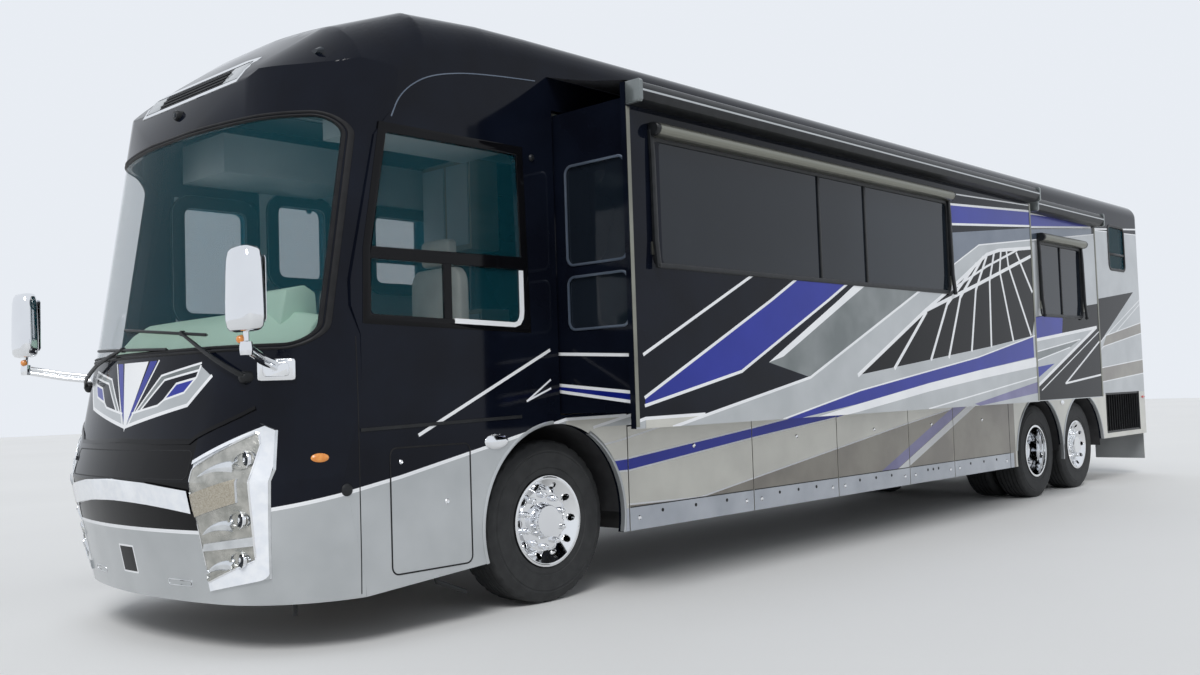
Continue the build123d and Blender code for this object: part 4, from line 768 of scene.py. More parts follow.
# Front of the cab
GLASS_HALF, GLASS_LOW, GLASS_HIGH, GLASS_ROUND = 1.200, 1.655, 2.925, 0.11
BEAD = ((-0.009, -0.004), (-0.007, 0.005), (0, 0.008), (0.007, 0.005), (0.009, -0.004))
LAMP_Y = 0.748
LAMP_BAND = softened(((LAMP_Y - 0.06, 0.329), (LAMP_Y + 0.335, 0.413), (LAMP_Y + 0.402, 0.99),
    (LAMP_Y + 0.390, 1.245), (LAMP_Y - 0.06, 1.016)), 0.055)
LAMP_FIELD = softened(((LAMP_Y, 0.392), (LAMP_Y + 0.288, 0.517), (LAMP_Y + 0.337, 1.12),
    (LAMP_Y + 0.318, 1.188), (LAMP_Y, 1.0)), 0.018, 3)
LAMP_GLASS = ((LAMP_Y, 0.745), (LAMP_Y, 0.868), (LAMP_Y + 0.270, 0.949), (LAMP_Y + 0.254, 0.822))
LAMP_LEDGE = ((LAMP_Y + 0.007, 0.560), (LAMP_Y + 0.299, 0.592), (LAMP_Y + 0.305, 0.640),
    (LAMP_Y + 0.027, 0.600))
ROUND_LAMPS = ((LAMP_Y + 0.281, 1.045), (LAMP_Y + 0.247, 0.732), (LAMP_Y + 0.212, 0.518))
LAMP_SILL = ((0.6, 0.2), (0.6, 0.70), (1.3, 0.70), (1.3, 0.2))
LAMP_PAINT = (("silver", LAMP_SILL), ("led", LAMP_BAND), ("lens", LAMP_FIELD), ("lens_warm", LAMP_GLASS),
    ("reflector", LAMP_LEDGE))
# Wipers seen from ahead: pivot, elbow, end of the arm, the blade's two ends
WIPERS = (((0.97, 1.48), (0.76, 1.60), (0.47, 1.741), (-0.21, 1.80), (0.674, 1.722)),
    ((-0.93, 1.48), (-0.55, 1.60), (-0.19, 1.681), (-0.72, 1.70), (0.34, 1.658)))


def lamp_forms(sign):
    """Round lamps with bright rims and swept scoops, and the edge of the lamp's field."""
    place = on_face(("headlamps", "nose_panel", "front_cap"), FRONT)

    def put(p, height=0.0):
        return place((sign * p[0], p[1]), height)

    for spot in ROUND_LAMPS:
        centre = put(spot)
        yield "chrome", lathe(((0.048, -0.01), (0.050, 0.006), (0.047, 0.010), (0.044, 0.006),
            (0.043, -0.01)), centre, FRONT, 32, loop=True)
        yield "glass_dark", lathe(((0.045, 0.001), (0.040, 0.005), (0.028, 0.0045), (0.026, 0.007),
            (0.0, 0.007)), centre, FRONT, 32)
        yield "chrome", lathe(((0.014, 0.006), (0.010, 0.010), (0.0, 0.011)), centre, FRONT, 20)
        rings = []
        for i in range(9):
            share = i / 8
            wide = 0.040 * (1 - share) ** 0.6
            y = spot[0] - 0.035 - 0.20 * share
            z = spot[1] - 0.030 - 0.055 * share + 0.02 * sin(pi * share)
            scoop = ((-0.9, -0.05), (-0.5, 0.28), (0.1, 0.40), (0.6, 0.24), (0.8, -0.05))
            rings.append([put((y + 0.3 * wide * s, z + wide * s), 0.001 + wide * h) for s, h in scoop])
        yield "reflector", loft(rings)
    edge = [(0.0, -0.004), (0.005, -0.004), (0.007, 0.003), (0.0, 0.005)]
    yield "chrome", border(dense(list(LAMP_FIELD)), edge, put)


def wiper_forms(place):
    """Arm, blade and pivot of each wiper, following the glass."""
    for pivot, elbow, tip, *blade in WIPERS:
        arm = [Vector(pivot), Vector(elbow), Vector(tip)]
        path = [place(arm[0].lerp(arm[1], i / 6), 0.040) for i in range(6)]
        path += [place(arm[1].lerp(arm[2], i / 8), 0.040 - 0.018 * i / 8) for i in range(9)]
        rings = []
        for i, p in enumerate(path):
            along = (path[min(i + 1, len(path) - 1)] - path[max(i - 1, 0)]).normalized()
            side = along.cross(FRONT).normalized()
            wide = 0.015 - 0.008 * i / (len(path) - 1)
            section = ((-1, -1), (1, -1), (1, 0.6), (0.5, 1), (-0.5, 1), (-1, 0.6))
            rings.append([p + side * wide * s + FRONT * 0.007 * r for s, r in section])
        yield "trim", loft(rings)
        ends = Vector(blade[0]), Vector(blade[1])
        spine = [ends[0].lerp(ends[1], i / 16) for i in range(17)]
        yield "seal", sweep([place(p, 0.006) for p in spine], strip(0.004, -0.005, 0.002, 0.004), FRONT)
        holder = [place(p, 0.016 - 0.004 * abs(i - 8) / 8) for i, p in enumerate(spine)]
        yield "trim", sweep(holder, strip(0.009, -0.003, 0.005, 0.006), FRONT)
        yield "trim", lathe(((0.034, -0.02), (0.034, 0.026), (0.028, 0.036), (0.012, 0.046), (0.0, 0.047)),
            place(pivot), FRONT, 24)
        yield "trim", lathe(((0.016, -0.012), (0.016, 0.010), (0.0, 0.012)), place(tip, 0.014), FRONT, 12)


def nose_forms(place):
    """Ridge over the headlamps, seam of the nose panel, bumper slots, pegs and a rod under the bumper."""
    ridge = [(0, 1.152), (0.103, 1.150), (0.423, 1.140), (0.679, 1.141), (0.722, 1.170), (0.807, 1.206),
        (0.892, 1.241), (0.965, 1.276), (1.032, 1.316)]
    ridge = [(-y, z) for y, z in ridge[:0:-1]] + ridge
    yield "black", sweep([place(p) for p in ridge],
        [(-0.016, -0.006), (0.016, -0.006), (0.010, 0.010), (-0.012, 0.005)], FRONT)
    seam = [(0, -0.004), (0, 0.002), (0.006, 0.002), (0.006, -0.004)]
    yield "seal", border(dense(rounded(-0.715, 0.715, 0.948, 1.095, 0.03)), seam, place)
    for side in (-1, 1):
        slot = dense(rounded(side * 0.5 - 0.10, side * 0.5 + 0.10, 0.362, 0.388, 0.012))
        yield "reflector", border(slot, [(0, -0.004), (0, 0.003), (0.006, 0.003), (0.006, -0.004)], place)
        yield plate("trim", slot, brim(-0.004, 0.001, 0.004, 0.001), place)
        yield "trim", lathe(((0.012, 0), (0.012, 0.10), (0, 0.10)), at(1.80, side * 1.08, 0.20), (0, 0, 1),
            12)
    rod = [at(0.98, 1.23, 0.34), at(0.95, 1.22, 0.27), at(0.72, 1.20, 0.18)]
    yield "trim", sweep(rod, circle(0.014, 10), (0, 1, 0))


def vent_forms(place):
    """Chrome-edged vent over the windscreen."""
    vent = [(-0.575, 3.215), (0.575, 3.215), (0.605, 3.330), (-0.605, 3.330)]
    yield "chrome", border(dense(vent), [(0.0, -0.004), (0.024, -0.004), (0.024, 0.006), (0.0, 0.006)],
        place)
    yield plate("trim", dense(offset(vent, -0.01)), brim(-0.004, 0.003, 0.004, 0.003), place)
    for z in (3.300, 3.272, 3.244):
        bar_line = [place((0.08 * k, z), 0.004) for k in range(-5, 6)]
        yield "trim", sweep(bar_line, strip(0.005, -0.004, 0.005, 0.007), (1, 0, 0))
    for side in (-1, 1):
        end = [(side * 0.40, 3.222), (side * 0.570, 3.222), (side * 0.598, 3.323), (side * 0.42, 3.323)]
        yield plate("silver", dense(end[::side]), brim(-0.004, 0.005, 0.004, 0.007), place)


def marker_forms(place):
    """Camera under the vent, and the marker lamps."""
    camera_at = place((0, 3.10))
    yield "trim", lathe(((0.034, -0.02), (0.034, 0.020), (0.026, 0.034), (0.0, 0.034)), camera_at, FRONT,
        20)
    yield "glass_dark", lathe(((0.018, 0.02), (0.014, 0.036), (0.0, 0.041)), camera_at, FRONT, 20)
    for y in (-1.03, 1.03):
        spot = place((y, 3.315))
        rings = []
        for k in (-1.2, 0, 0.7, 1):
            size = 1 - 0.3 * k
            rings.append([spot + Vector((-0.012 * k, 0.055 * s * size, 0.020 * r * size))
                + FRONT * 0.022 * k for s, r in circle(1, 12)])
        yield "glass_dark", loft(rings)


def front_details():
    place = on_face(("front_cap", "windscreen", "nose_panel"), FRONT)
    glass_edge = dense(rounded(-GLASS_HALF, GLASS_HALF, GLASS_LOW, GLASS_HIGH, GLASS_ROUND, 8))
    beads = [("seal", border(offset(glass_edge, out), BEAD, place)) for out in (0.004, 0.024)]
    assemble("windscreen_gasket", "coach", beads)
    for hand, sign in (("left", 1), ("right", -1)):
        assemble(f"lamp_details_{hand}", "coach", lamp_forms(sign), 40)
    assemble("wiper_set", "coach", wiper_forms(place), 40, replaced=("wipers",))
    assemble("nose_mouldings", "coach", nose_forms(place), 40)
    assemble("cap_vent", "coach", vent_forms(place))
    assemble("cap_markers", "coach", marker_forms(place))


# Mirrors, given for the left side
MIRROR_AT, HEAD = (2.250, 1.412, 1.905), (0.064, 0.124, 0.2125)
ELBOW_Z = 1.6075
FOOT = (1.885, 1.09, 1.515)


def mirror_forms(sign):
    """Chrome head with its glass, double arm, foot and amber lamp of the mirror on one side."""
    def put(x, y, z):
        return at(x, sign * y, z)

    x0, y0, z0 = MIRROR_AT
    rings = []
    for level in (-1, -0.97, -0.88, -0.7, -0.4, 0, 0.4, 0.7, 0.88, 0.97, 1):
        full = (1 - abs(level) ** 6) ** (1 / 6)
        narrow = 0.97 - 0.12 * level
        ring = []
        for i in range(28):
            turn = 2 * pi * i / 28
            c, s = cos(turn), sin(turn)
            bulge = abs(c) ** 0.55 * (1 if c > 0 else -1)
            deep = (bulge if c > 0 else 0.8 * bulge) * max(0.35, full)
            wide = abs(s) ** 0.5 * (1 if s > 0 else -1) * max(0.55, full)
            ring.append(put(x0 + HEAD[0] * deep, y0 + HEAD[1] * narrow * wide, z0 + HEAD[2] * level))
        rings.append(ring)
    yield "chrome", loft(rings)
    glass = [put(x0 - 0.056, y, z) for y, z in rounded(y0 - 0.095, y0 + 0.095, z0 - 0.17, z0 + 0.17, 0.03)]
    yield "reflector", loft([glass, [p + REAR * 0.004 for p in glass]])
    foot = Vector(put(*FOOT))
    out_run = [foot + Vector((0.03, sign * 0.03, 0.02)), foot.lerp(put(x0, y0, ELBOW_Z), 0.5),
        put(x0 - 0.03, y0 - 0.02, ELBOW_Z - 0.006)]
    up_run = [put(x0, y0, ELBOW_Z + 0.004), put(x0, y0, ELBOW_Z + 0.04), put(x0, y0, z0 - HEAD[2] + 0.02)]
    for lift in (-0.014, 0.018):
        arm = [p + Vector((0, 0, lift)) for p in out_run] + up_run
        yield "chrome", sweep(arm, circle(0.015, 12), (0.3, 0.2, 1))
    yield "chrome", lathe(((0.030, -0.03), (0.034, 0), (0.030, 0.036), (0.0, 0.04)), put(x0, y0, ELBOW_Z),
        (0, 0, 1), 20)
    turn = radians(46)
    out, along = Vector((cos(turn), sign * sin(turn), 0)), Vector((-sin(turn), sign * cos(turn), 0))
    for deep, wide, tall in ((0.040, 0.100, 0.060), (0.052, 0.070, 0.038)):
        base = rounded(-wide, wide, -tall, tall, 0.02)
        levels = (-0.03, 1), (deep - 0.008, 1), (deep, 0.9)
        yield "chrome", loft([[foot + out * d + along * s * k + Vector((0, 0, r * k)) for s, r in base]
            for d, k in levels])
    lamp_at = put(x0 + 0.018, y0 - 0.02, z0 - HEAD[2] - 0.035)
    yield "amber", lathe(((0.020, -0.01), (0.020, 0.012), (0.012, 0.020), (0.0, 0.022)), lamp_at,
        (1, 0, -0.3), 16)


def mirrors():
    forms = [form for sign in (1, -1) for form in mirror_forms(sign)]
    assemble("mirror_set", "coach", forms, 50, replaced=("mirrors",))


# Sides
FRAME_SECTION = ((-0.004, -0.012), (0.030, -0.012), (0.030, 0.004), (0.024, 0.009), (0.004, 0.009),
    (-0.004, 0.004))
DRIVER_GLASS = ((0.25, 1.78), (1.42, 1.81), (1.41, 2.18), (1.29, 2.86), (0.28, 2.86))
# side, rear, front, lower, upper
FIXED_GLASS = ((1, -10.76, -10.20, 2.75, 3.30), (-1, -10.76, -10.20, 2.75, 3.30),
    (-1, -7.50, -6.40, 2.10, 2.80), (-1, 0.06, 0.48, 2.30, 2.86), (-1, -1.20, -0.42, 2.30, 2.86))
# A window wider than WIDE_PANE has a rail, at RAIL_SHARE of its height
WIDE_PANE, RAIL_SHARE = 0.5, 0.35
# name, window's rear, front, lower, upper, places of its upright bars
SLIDE_GLASS = (("front_left", -4.20, -0.24, 2.13, 2.90, (-2.14, -2.805)),
    ("rear_left", -7.50, -6.40, 2.00, 2.72, (-6.95,)), ("right", -4.50, -1.90, 2.13, 2.90, (-2.75, -3.65)))
# centre's place and height, radius, first and last degree
ARCHES = ((0, 0.522, 0.625, -17, 192), (-7.69, 0.480, 0.650, 7, 188), (-9.01, 0.480, 0.650, 7, 173))
ARCH_STEPS = 60
# Awnings: the fabric case's reach, the length of its ends, and the radius of the rolled tube over a window
CASE_OUT, CASE_END, TUBE_R = 0.1195, 0.03, 0.0425


def window_forms(place, x0, x1, z0, z1, radius, bars=(), rail_share=0):
    """Frame of a window, its upright bars, and the rail under its vent panes at a share of its height."""
    yield "trim", border(rounded(x0, x1, z0, z1, radius), FRAME_SECTION, place)
    for x in bars:
        yield plate("trim", square(x - 0.014, x + 0.014, z0, z1), brim(-0.012, 0.003, 0.003, 0.005), place)
    if rail_share:
        z = z0 + rail_share * (z1 - z0)
        yield plate("trim", square(x0, x1, z - 0.014, z + 0.014), brim(-0.012, 0.002, 0.003, 0.004), place)


def lock(place, spot, radius=0.016):
    """Round lock with a raised ring."""
    centre = place(spot)
    way = (place(spot, 0.01) - centre).normalized()
    ring = ((radius, -0.004), (radius, 0.004), (radius * 0.8, 0.007), (radius * 0.55, 0.004), (0.0, 0.004))
    return "chrome", lathe(ring, centre, way, 20)


def driver_window_forms(place):
    """Broad frame, rail and post of the driver's window, and the white line along its sliding pane."""
    broad = [(-0.006, -0.012), (0.050, -0.012), (0.050, 0.003), (0.042, 0.007), (0.006, 0.007),
        (-0.006, 0.002)]
    yield "black", border(list(DRIVER_GLASS), broad, place)
    rail = [(0.25, 2.125), (1.42, 2.125), (1.40, 2.195), (0.25, 2.205)]
    for outline in (rail, square(0.835, 0.895, 1.80, 2.13)):
        yield plate("black", outline, brim(-0.012, 0.003, 0.004, 0.006), place)
    line = [(0.275, 2.12), (0.275, 1.86), (0.282, 1.82), (0.303, 1.79), (0.340, 1.777), (0.82, 1.79)]
    yield "white", sweep([place(p, 0.004) for p in line], strip(0.015, -0.004, 0.015, 0.006), LEFT)


def moulding_forms():
    """Thin arch over the cab's side windows, and the moulding under them, on both sides."""
    arch = eased([(1.245, 2.95), (1.185, 3.07), (1.085, 3.165), (0.94, 3.24), (0.72, 3.295), (0.45, 3.33),
        (0.10, 3.36)])
    for view in (LEFT, RIGHT):
        yield "steel", sweep([on_side(view)(p, 0.001) for p in arch], strip(0.005, -0.003, 0.003, 0.003),
            LEFT)
    for view in (LEFT, RIGHT):
        run = [on_side(view)(p) for p in ((1.50, 1.175), (0.30, 1.205))]
        yield "trim", sweep(run, strip(0.012, -0.003, 0.009, 0.005), view)


def fixed_windows():
    for i, (side, x0, x1, z0, z1) in enumerate(FIXED_GLASS):
        rail_share = RAIL_SHARE if x1 - x0 > WIDE_PANE else 0
        forms = window_forms(on_side(LEFT * side), x0, x1, z0, z1, 0.06, rail_share=rail_share)
        assemble(f"window_frame_{i + 1}", "coach", forms)
    assemble("driver_window_frame", "coach", driver_window_forms(on_side(LEFT)))
    assemble("side_mouldings", "coach", moulding_forms())


def corner_forms(place, low, high):
    """Bright strips up a room's outer corners."""
    for x in (low.x - AXLE + 0.016, high.x - AXLE - 0.016):
        outline = square(x - 0.016, x + 0.016, low.z + 0.01, high.z - 0.15)
        yield plate("bronze", outline, brim(-0.002, 0.003, 0.004, 0.006), place)


def end_frame_forms(wall_x):
    """Frames of the two panes in the front wall of the big left room."""
    section = [(-0.004, -0.002), (0.012, -0.002), (0.012, 0.006), (0.006, 0.009), (-0.004, 0.007)]
    for low, high in ((2.165, 2.80), (1.75, 2.08)):
        pane = dense(rounded(1.37, 1.88, low, high, 0.05), 0.2)
        yield "steel", border(pane, section, lambda p, height: Vector((wall_x + height, *p)))


def slide_windows():
    for name, x0, x1, z0, z1, bars in SLIDE_GLASS:
        low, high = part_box(f"slide_{name}_room")
        view = LEFT if high.y > 1 else RIGHT
        place = on_side(view, max(abs(low.y), abs(high.y)) - SIDE_Y)
        forms = [*window_forms(place, x0, x1, z0, z1, 0.04, bars), *corner_forms(place, low, high)]
        assemble(f"slide_trim_{name}", f"slide_{name}", forms)
        if name == "front_left":
            forms = end_frame_forms(high.x - 0.069)
            assemble("slide_end_frames", "slide_front_left", forms)


def awning_forms(low, high, face, side, window):
    """Case of the fabric over a room, and the rolled awning with its arms at a window's edges."""
    def put(x, out, z):
        return at(x, face + side * out, z)

    x0, x1, z0, z1 = window
    top = high.z
    ends = low.x - AXLE, high.x - AXLE
    case = [(0, -0.140), (0.070, -0.140), (0.104, -0.122), (CASE_OUT, -0.080), (CASE_OUT, -0.055),
        (0.100, -0.020), (0.070, -0.002), (0, -0.001)]
    yield "trim", loft([[put(x, o, top + z) for o, z in case]
        for x in (ends[0] + CASE_END, ends[1] - CASE_END)])
    end_cap = [(0, -0.140), (0.108, -0.140), (CASE_OUT, -0.128), (CASE_OUT, -0.013), (0.108, -0.001),
        (0, -0.001)]
    for x, step in ((ends[0], CASE_END), (ends[1], -CASE_END)):
        sizes = (0.0, 0.92), (0.12, 1.0), (1.0, 1.0)
        yield "pewter", loft([[put(x + step * k, 0.06 + (o - 0.06) * s, top - 0.07 + (z + 0.07) * s)
            for o, z in end_cap] for k, s in sizes])
    line = [put(x, CASE_OUT, top - 0.068) for x in (ends[0] + CASE_END, ends[1] - CASE_END)]
    yield "silver", sweep(line, strip(0.006, -0.004, 0.006, 0.0004), (0, side, 0))
    base = z1 + 0.02
    tube = []
    for i in range(25):
        turn = radians(-95 + 190 * i / 24)
        ridge = 1 - (0.035 if i % 3 == 1 else 0)
        tube.append((0.042 + 0.047 * cos(turn) * ridge, base + TUBE_R + TUBE_R * sin(turn) * ridge))
    tube += [(0.0, base + 0.084), (0.0, base + 0.001)]
    yield "bronze", loft([[put(x, o, z) for o, z in tube] for x in (x0 - 0.01, x1 + 0.01)])
    for x, step in ((x0 - 0.04, 0.035), (x1 + 0.04, -0.035)):
        sizes = (0, 0.85), (0.2, 1.0), (1.0, 1.0)
        yield "trim", loft([[put(x + step * k, 0.045 + (o - 0.045) * s,
            base + TUBE_R + (z - base - TUBE_R) * s) for o, z in tube] for k, s in sizes])
    section = [(-0.019, -0.012), (0.019, -0.012), (0.019, 0.006), (0.011, 0.011), (-0.011, 0.011),
        (-0.019, 0.006)]
    knuckle = ((0.0, -0.015), (0.017, -0.012), (0.020, 0), (0.017, 0.012), (0.0, 0.015))
    for x in (x0 - 0.025, x1 + 0.025):
        arm = ((0.014, base + 0.04), (0.022, z1 - 0.10), (0.028, z0 + 0.14), (0.040, z0 + 0.02),
            (0.044, z0 - 0.034))
        yield "trim", sweep([put(x, o, z) for o, z in arm], section, (0, side, 0))
        yield "trim", lathe(knuckle, put(x, 0.040, z0 - 0.018), (1, 0, 0), 16)
        yield "bronze", bar(put(x - 0.017, 0.0, z0 + 0.05), put(x + 0.017, 0.012, z0 + 0.13))


def awnings():
    for name, *window, _ in SLIDE_GLASS:
        room_low, room_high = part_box(f"slide_{name}_room")
        low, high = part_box(f"slide_{name}_awning")
        side = 1 if high.y > 1 else -1
        face = side * (room_high.y if side > 0 else -room_low.y)
        forms = awning_forms(low, high, face, side, window)
        assemble(f"awning_set_{name}", f"slide_{name}", forms, 40,
            replaced=(f"slide_{name}_awning",))


def arch_lips():
    """Bright lips round the wheel arches, left out where a room comes over them when it is in."""
    section = ((-0.001, -0.03), (0.020, -0.002), (0.022, 0.003), (0.014, 0.008), (0.004, 0.009),
        (-0.001, 0.004))
    boxes = [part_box(f"slide_{name}_room") for name, *_ in SLIDE_GLASS]
    for hand, side in (("left", 1), ("right", -1)):
        rooms = [(low, high) for low, high in boxes if side * (low.y + high.y) > 0]
        for i, (x, z, radius, start, stop) in enumerate(ARCHES):
            runs = [[]]
            for k in range(ARCH_STEPS + 1):
                turn = radians(start + (stop - start) * k / ARCH_STEPS)
                out = Vector((cos(turn), 0, sin(turn)))
                p = at(x, side * SIDE_Y, z) + out * radius
                if any(low.x - 0.02 < p.x < high.x + 0.02 and p.z > low.z - 0.03 for low, high in rooms):
                    runs.append([])
                else:
                    runs[-1].append([p + out * o + Vector((0, side * h, 0)) for o, h in section])
            forms = [("silver", loft(rings)) for rings in runs if len(rings) > 1]
            assemble(f"arch_lip_{hand}_{i + 1}", "coach", forms)


# Storage doors: locks, and the seams' gaskets
BAY_LEFT = (-0.677, -2.1286, -3.3654, -4.6262, -5.5440, -6.858)
BAY_RIGHT = (-0.677, -2.7454, -4.8303, -6.858)


def bay_forms(place, view, x0, x1):
    """Locks, bolts and a seam of the storage door between two places."""
    for spot in ((x1 - 0.10, 0.47), (x0 + 0.10, 0.47), ((x0 + x1) / 2, 0.93)):
        yield lock(place, spot, 0.017)
    seam = [place(p, -0.003) for p in ((x1 - 0.012, 0.548), (x0 + 0.012, 0.548))]
    yield "trim", sweep(seam, strip(0.004, -0.002, 0.004, 0.005), view)
    for x in (x1 - 0.35, (x0 + x1) / 2, x0 + 0.35):
        yield "trim", lathe(((0.013, -0.003), (0.013, 0.003), (0.008, 0.004), (0.0, 0.004)),
            place((x, 0.50)), view, 14)


def entry_forms(place):
    """Window frame, grab handle, latch, lock and inner lining of the entry door."""
    yield "trim", border(rounded(0.745, 1.240, 2.0, 2.77, 0.06), FRAME_SECTION, place)
    grip = ((1.30, 0.0), (1.30, 0.05), (1.32, 0.062), (1.72, 0.062), (1.74, 0.05), (1.74, 0.0))
    yield "chrome", sweep([place((0.72, z), out) for z, out in grip], circle(0.014, 10), (1, 0, 0))
    yield plate("black", rounded(0.70, 0.79, 1.10, 1.24, 0.02), brim(-0.002, 0.012, 0.008, 0.018), place)
    yield lock(place, (0.745, 1.17))
    inner_y = 0.052 - SIDE_Y
    for x0, x1, z0, z1 in ((0.69, 1.295, 0.45, 1.96), (0.69, 1.295, 2.81, 2.84), (0.69, 0.715, 1.96, 2.81),
            (1.27, 1.295, 1.96, 2.81)):
        yield "cabin", bar(at(x0, inner_y - 0.008, z0), at(x1, inner_y, z1))


def door_details():
    for hand, seams, view in (("left", BAY_LEFT, LEFT), ("right", BAY_RIGHT, RIGHT)):
        for i, (x1, x0) in enumerate(zip(seams, seams[1:])):
            forms = bay_forms(on_side(view), view, x0, x1)
            assemble(f"bay_trim_{hand}_{i + 1}", f"bay_door_{hand}_{i + 1}", forms)
    left, right = on_side(LEFT), on_side(RIGHT)
    locks = [lock(left, (0.91, 0.735)), lock(left, (1.235, 0.985), 0.013)]
    assemble("access_lock", "access_door", locks)
    gasket = [(0.0, -0.02), (0.009, -0.02), (0.009, 0.003), (0.005, 0.005), (0.0, 0.003)]
    gaskets = [("seal", border(rounded(0.732, 1.304, 0.365, 1.060, 0.040), gasket, left)),
        ("seal", border(rounded(0.655, 1.330, 0.380, 2.860, 0.040), gasket, right))]
    assemble("door_gaskets", "coach", gaskets)
    assemble("entry_trim", "entry_door", entry_forms(right))


# Lamps and plugs on each wall and on the cap's sides: place, height, half length, half height, finish
WALL_LAMPS = ((0.517, 1.062, 0.096, 0.047, "chrome"), (-8.367, 1.050, 0.045, 0.030, "chrome"),
    (0.153, 2.852, 0.022, 0.022, "trim"), (-11.2, 1.05, 0.05, 0.018, "red"))
CAP_LAMPS = ((1.738, 1.039, 0.042, 0.020, "amber"), (1.595, 0.858, 0.030, 0.030, "trim"))


def side_lamp_forms(view):
    """Lamps and plugs of one side, and the seam between the cap and the wall."""
    place, cap = on_side(view), on_face(("front_cap",), view)
    domed = [(0, -0.004), (0, 0.006), (-0.008, 0.014)]
    for x, z, long, tall, finish in WALL_LAMPS:
        oval = [(x + long * s, z + tall * r) for s, r in circle(1, 24)]
        yield plate(finish, oval, domed + [(-0.02 * tall / 0.05, 0.016)], place)
    for x, z, long, tall, finish in CAP_LAMPS:
        oval = [(x + long * s, z + tall * r) for s, r in circle(1, 20)]
        yield plate(finish, oval, [(0.004, -0.004), (0.004, 0.004), (-0.004, 0.010), (-0.012, 0.012)], cap)
    seam = [cap((1.512, 0.29 + 0.1 * k)) for k in range(15)]
    yield "seal", sweep(seam, strip(0.004, -0.004, 0.003, 0.002), view)


def side_lamps():
    forms = [form for view in (LEFT, RIGHT) for form in side_lamp_forms(view)]
    assemble("side_lamps", "coach", forms, 40)


# Rear: the lamp columns' distance to the side, their lamps' heights, and the louvres of the engine door
REAR_LAMP_Y = 1.085
REAR_LAMPS = ((0.93, "led"), (1.10, "amber"), (1.27, "red"), (1.42, "red"))
LOUVRES, LOUVRE_Z, LOUVRE_STEP = 9, 1.19, 0.065
LOUVRE_Y, LOUVRE_HALF = 0.38, 0.32


def on_tail(p, height=0.0):
    """Place (to the left, height) on the tail, and a height off it."""
    return Vector((TAIL_X + 0.012 - height, p[0], p[1]))


def tail_forms():
    """Columns of lamps with bright frames, the row of lamps under the roof, and the camera."""
    for side in (1, -1):
        y = side * REAR_LAMP_Y
        for z, finish in REAR_LAMPS:
            outline = rounded(y - 0.036, y + 0.036, z - 0.055, z + 0.055, 0.02)
            yield plate(finish, outline, brim(0.0, 0.006, 0.008, 0.011), on_tail)
        outline = rounded(y - 0.045, y + 0.045, 0.82, 1.50, 0.02)
        yield "chrome", border(outline, [(0, -0.002), (0.010, -0.002), (0.010, 0.006), (0, 0.006)], on_tail)
    for y in (-0.9, -0.2, 0, 0.2, 0.9):
        outline = rounded(y - 0.05, y + 0.05, 3.40, 3.43, 0.01)
        yield plate("red", outline, brim(-0.03, 0.006, 0.005, 0.010), on_tail)
    camera = ((0.034, -0.03), (0.034, 0.010), (0.026, 0.012), (0.0, 0.012))
    yield "trim", lathe(camera, on_tail((0, 3.30), -0.002), REAR, 20)


def engine_door_forms():
    """Louvres, bare plate and locks of the engine door."""
    slat = ((0.013, 0.012), (0.001, -0.010), (0.001, -0.012), (0.013, 0.008))
    for side in (1, -1):
        ends = sorted((side * LOUVRE_Y - LOUVRE_HALF, side * LOUVRE_Y + LOUVRE_HALF))
        for k in range(LOUVRES):
            z = LOUVRE_Z + (k - LOUVRES // 2) * LOUVRE_STEP
            yield "trim", loft([[Vector((TAIL_X + d + 0.001, y, z + r)) for d, r in slat] for y in ends])
    yield plate("black", rounded(-0.17, 0.17, 0.68, 0.80, 0.01), brim(-0.002, 0.004, 0.003, 0.005), on_tail)
    for y in (-0.6, 0.6):
        ring = ((0.02, -0.002), (0.02, 0.006), (0.012, 0.010), (0.0, 0.010))
        yield "chrome", lathe(ring, on_tail((y, 0.70)), REAR, 18)


def rear_details():
    assemble("tail_details", "coach", tail_forms(), replaced=("tail_lamps",))
    assemble("engine_door_trim", "engine_door", engine_door_forms())


# Soft parts: the fabric over each slide-out room and the chairs' cushions
SEATS = (("driver", 0.62), ("passenger", -0.50))
SEAT_REAR, SEAT_FRONT, SEAT_HALF = AXLE + 0.37, AXLE + 0.92, 0.265
SEAT_LOW, SEAT_HIGH, BACK_HIGH = 1.425, 1.570, 2.19
RAIL_Z, SAG = 3.402, 0.012


def fabric_over(name):
    """Sagging cloth from the roof rail to the room's awning case."""
    low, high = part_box(f"slide_{name}_awning")
    room_low, room_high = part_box(f"slide_{name}_room")
    side = 1 if high.y > 1 else -1
    start = Vector((side * (SIDE_Y + 0.002), RAIL_Z))
    end = Vector((side * (max(abs(room_low.y), abs(room_high.y)) + 0.006), high.z + 0.005))
    x0, x1 = low.x + 0.004, high.x - 0.004
    across, along = 14, 60
    points = []
    for i in range(along + 1):
        x = x0 + (x1 - x0) * i / along
        for j in range(across + 1):
            t = j / across
            flat = start.lerp(end, t)
            sag = SAG * sin(pi * t) * (1 + 0.25 * sin(x * 3.1) + 0.12 * sin(x * 7.7 + 1))
            points.append((x, flat.x, flat.y - sag + 0.004))
    faces = [(i * (across + 1) + j, i * (across + 1) + j + 1, (i + 1) * (across + 1) + j + 1,
        (i + 1) * (across + 1) + j) for i in range(along) for j in range(across)]
    piece = new_piece(f"topper_cloth_{name}", points, faces, ["fabric"], "coach", 60)
    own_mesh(piece)
    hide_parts("topper_fabrics")


